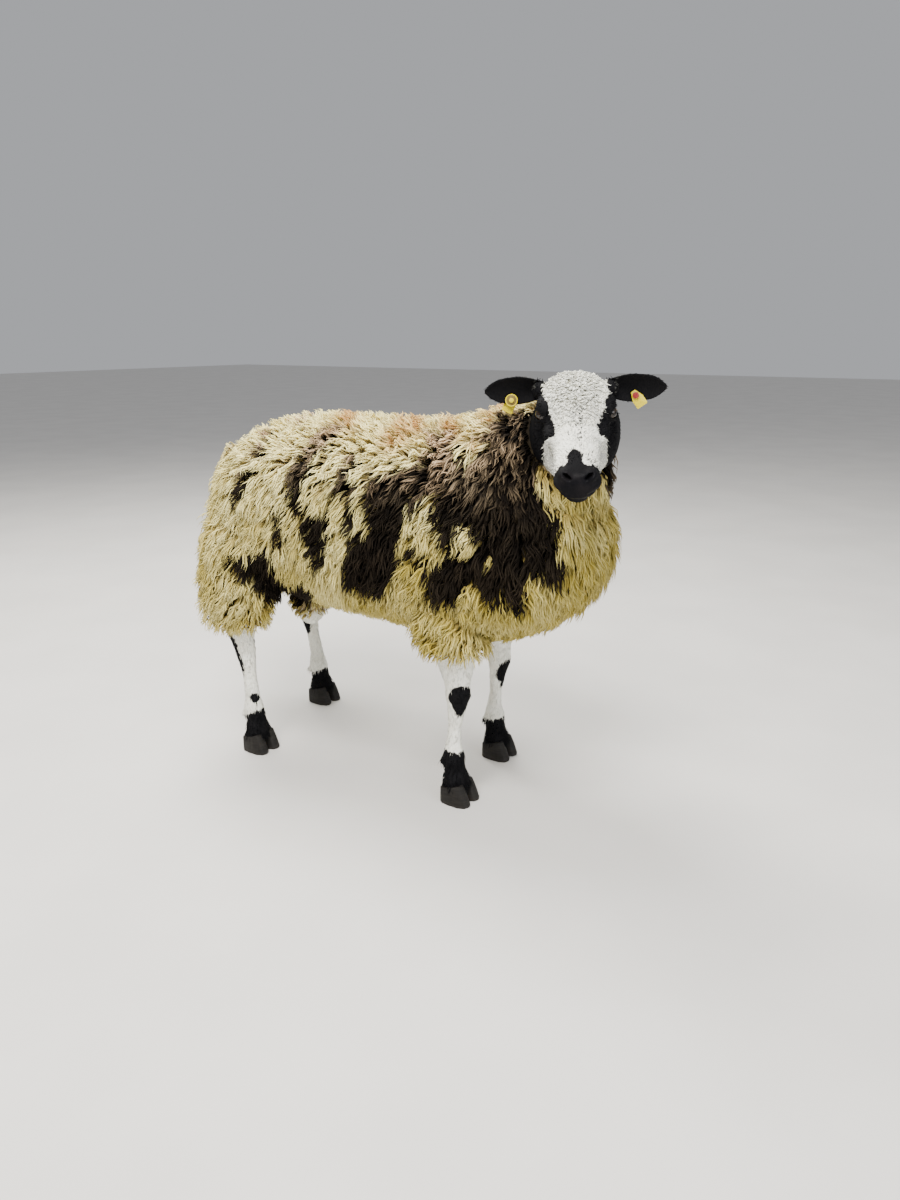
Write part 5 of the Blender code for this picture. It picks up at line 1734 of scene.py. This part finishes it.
class RAM_OT_tags(bpy.types.Operator):
    """Make the ear tags: a disc and a flag on a stud, through each ear"""

    bl_idname = "ram.tags"
    bl_label = "Ear tags"

    def execute(self, context):
        parts = context.scene.ram_parts
        yellow = plastic_material("tag_plastic", parts.tag)
        red = plastic_material("button_plastic", parts.button)
        # The dish's colour is dirt and painted shade in the hollow inside the rim.
        dirty = plastic_material("dish_dirt_and_shade_plastic", parts.dish)
        for (side, word), tint in zip(SIDES, (dirty, red)):
            stud = stud_matrix(side, word)
            pieces = [disc_part(stud, STUD_DISC), flag_part(stud, *TAG_FLAGS[word])]
            pieces += [disc_part(stud, disc) for disc in TAG_DISCS[word]]
            if word == "right":
                pieces.append(rim_part(stud))
            tag = pieces[0]
            tag.name = f"tag_{word}"
            only(tag)
            for piece in pieces[1:]:
                piece.select_set(True)
            bpy.ops.object.join()
            shade_by_angle(tag)
            dress(tag, yellow, "ear_tag", f"ear_tag_{word}")
            name, disc = TAG_FACES[word]
            face = disc_part(stud, disc)
            face.name = name
            shade_by_angle(face)
            dress(face, tint, "ear_tag")
        return {"FINISHED"}


def stud_matrix(side, word):
    """A frame where a tag's stud goes through its ear.

    Z runs along the stud, square to the ear, and Y is as near upright as can be.
    """
    share, across = TAG_PLACES[word]
    step = 0.02
    along = ear_point(share + step, across) - ear_point(share - step, across)
    over = ear_point(share, across + step) - ear_point(share, across - step)
    square = to_side(along.cross(over).normalized(), side)
    axis = (head_matrix().to_3x3() @ square).normalized()
    up = (Vector((0, 0, 1)) - axis * axis.z).normalized()
    turn = Matrix((up.cross(axis).normalized(), up, axis)).transposed().to_4x4()
    here = head_matrix() @ to_side(ear_point(share, across), side)
    return Matrix.Translation(here) @ turn


def disc_part(stud, disc):
    """A round plate on the stud: disc is its two ends, its radius and its sides."""
    low, high, radius, sides = disc
    bpy.ops.mesh.primitive_cylinder_add(vertices=sides, radius=radius, depth=high - low)
    obj = bevelled(bpy.context.object, min(0.0005, (high - low) * 0.3), 2)
    obj.data.transform(stud @ Matrix.Translation((0, 0, (low + high) / 2)))
    return obj


def rim_part(stud):
    """A raised ring round the disc's edge."""
    bpy.ops.mesh.primitive_torus_add(
        major_segments=48, minor_segments=10, major_radius=0.0100, minor_radius=0.0011
    )
    obj = bpy.context.object
    obj.data.transform(stud @ Matrix.Translation((0, 0, TAG_RIM_PLACE)))
    return obj


def flag_part(stud, low, high, turn):
    """A flat plate that hangs below the stud, narrow at the top."""
    rings = [[Vector((x, y, z)) for x, y in FLAG_OUTLINE] for z in (low, high)]
    obj = bevelled(loft("flag", rings), 0.0004, 2)
    obj.data.transform(stud @ Matrix.Rotation(turn, 4, "Z"))
    return obj


class RAM_OT_stage(bpy.types.Operator):
    """Lay the floor, hang the lights and set the camera"""

    bl_idname = "ram.stage"
    bl_label = "Studio"

    def execute(self, context):
        stage = context.scene.ram_stage
        bpy.ops.mesh.primitive_plane_add(size=40.0, location=(0, 0, 0))
        floor = context.object
        floor.name = "floor"
        g = Graph("floor")
        speck = g.noise(3.0, 4.0)
        shade = tuple(value * 0.94 for value in stage.floor)
        g.bump(g.noise(60.0, 3.0), 0.05, 0.002)
        colour = g.mix(g.span(speck, 0.3, 0.7), stage.floor, shade)
        floor.data.materials.append(g.finish(colour, 0.75, 0.25))
        world = context.scene.world or bpy.data.worlds.new("world")
        context.scene.world = world
        world.use_nodes = True
        background = world.node_tree.nodes["Background"]
        background.inputs["Color"].default_value = (*SKY, 1.0)
        background.inputs["Strength"].default_value = SKY_STRENGTH
        for name, place, size, share, colour in LIGHTS:
            light = bpy.data.lights.new(name, "AREA")
            light.size = size
            light.energy = stage.key_power * share
            light.color = colour
            lamp = bpy.data.objects.new(name, light)
            lamp.location = place
            way = LIGHTS_TARGET - Vector(place)
            lamp.rotation_euler = way.to_track_quat("-Z", "Y").to_euler()
            context.scene.collection.objects.link(lamp)
        camera_data = bpy.data.cameras.new("camera")
        camera_data.lens = stage.lens
        camera_data.sensor_width = 36.0
        camera_data.clip_start = 0.05
        camera_data.clip_end = 60.0
        camera = bpy.data.objects.new("camera", camera_data)
        look = CAMERA_WAY.normalized() * math.cos(stage.pitch)
        look.z = -math.sin(stage.pitch)
        camera.location = CAMERA_PLACE + SHIFT
        camera.rotation_euler = look.to_track_quat("-Z", "Y").to_euler()
        context.scene.collection.objects.link(camera)
        context.scene.camera = camera
        return {"FINISHED"}


OPERATORS = (
    RAM_OT_stage,
    RAM_OT_skin,
    RAM_OT_fleece,
    RAM_OT_hair,
    RAM_OT_eyes,
    RAM_OT_hooves,
    RAM_OT_tags,
)


class RAM_PT_panel(bpy.types.Panel):
    """Lists the steps and settings of the ram"""

    bl_idname = "RAM_PT_panel"
    bl_label = "Ram lamb"
    bl_space_type = "VIEW_3D"
    bl_region_type = "UI"
    bl_category = "Ram"

    def draw(self, context):
        for group, _ in GROUPS:
            settings = getattr(context.scene, group)
            box = self.layout.box()
            for name in settings.__annotations__:
                box.prop(settings, name)
        for operator in OPERATORS:
            self.layout.operator(operator.bl_idname)


GROUPS = (
    ("ram_coat", RamCoatSettings),
    ("ram_parts", RamPartSettings),
    ("ram_stage", RamStageSettings),
)


def register():
    for _, group in GROUPS:
        bpy.utils.register_class(group)
    for cls in (*OPERATORS, RAM_PT_panel):
        bpy.utils.register_class(cls)
    for name, group in GROUPS:
        setattr(bpy.types.Scene, name, bpy.props.PointerProperty(type=group))


def unregister():
    for name, _ in GROUPS:
        delattr(bpy.types.Scene, name)
    for cls in (RAM_PT_panel, *reversed(OPERATORS)):
        bpy.utils.unregister_class(cls)
    for _, group in reversed(GROUPS):
        bpy.utils.unregister_class(group)


def main():
    register()
    bpy.ops.ram.stage()
    bpy.ops.ram.skin()
    bpy.ops.ram.fleece()
    bpy.ops.ram.hair()
    bpy.ops.ram.eyes()
    bpy.ops.ram.hooves()
    bpy.ops.ram.tags()


if __name__ == "__main__":
    main()
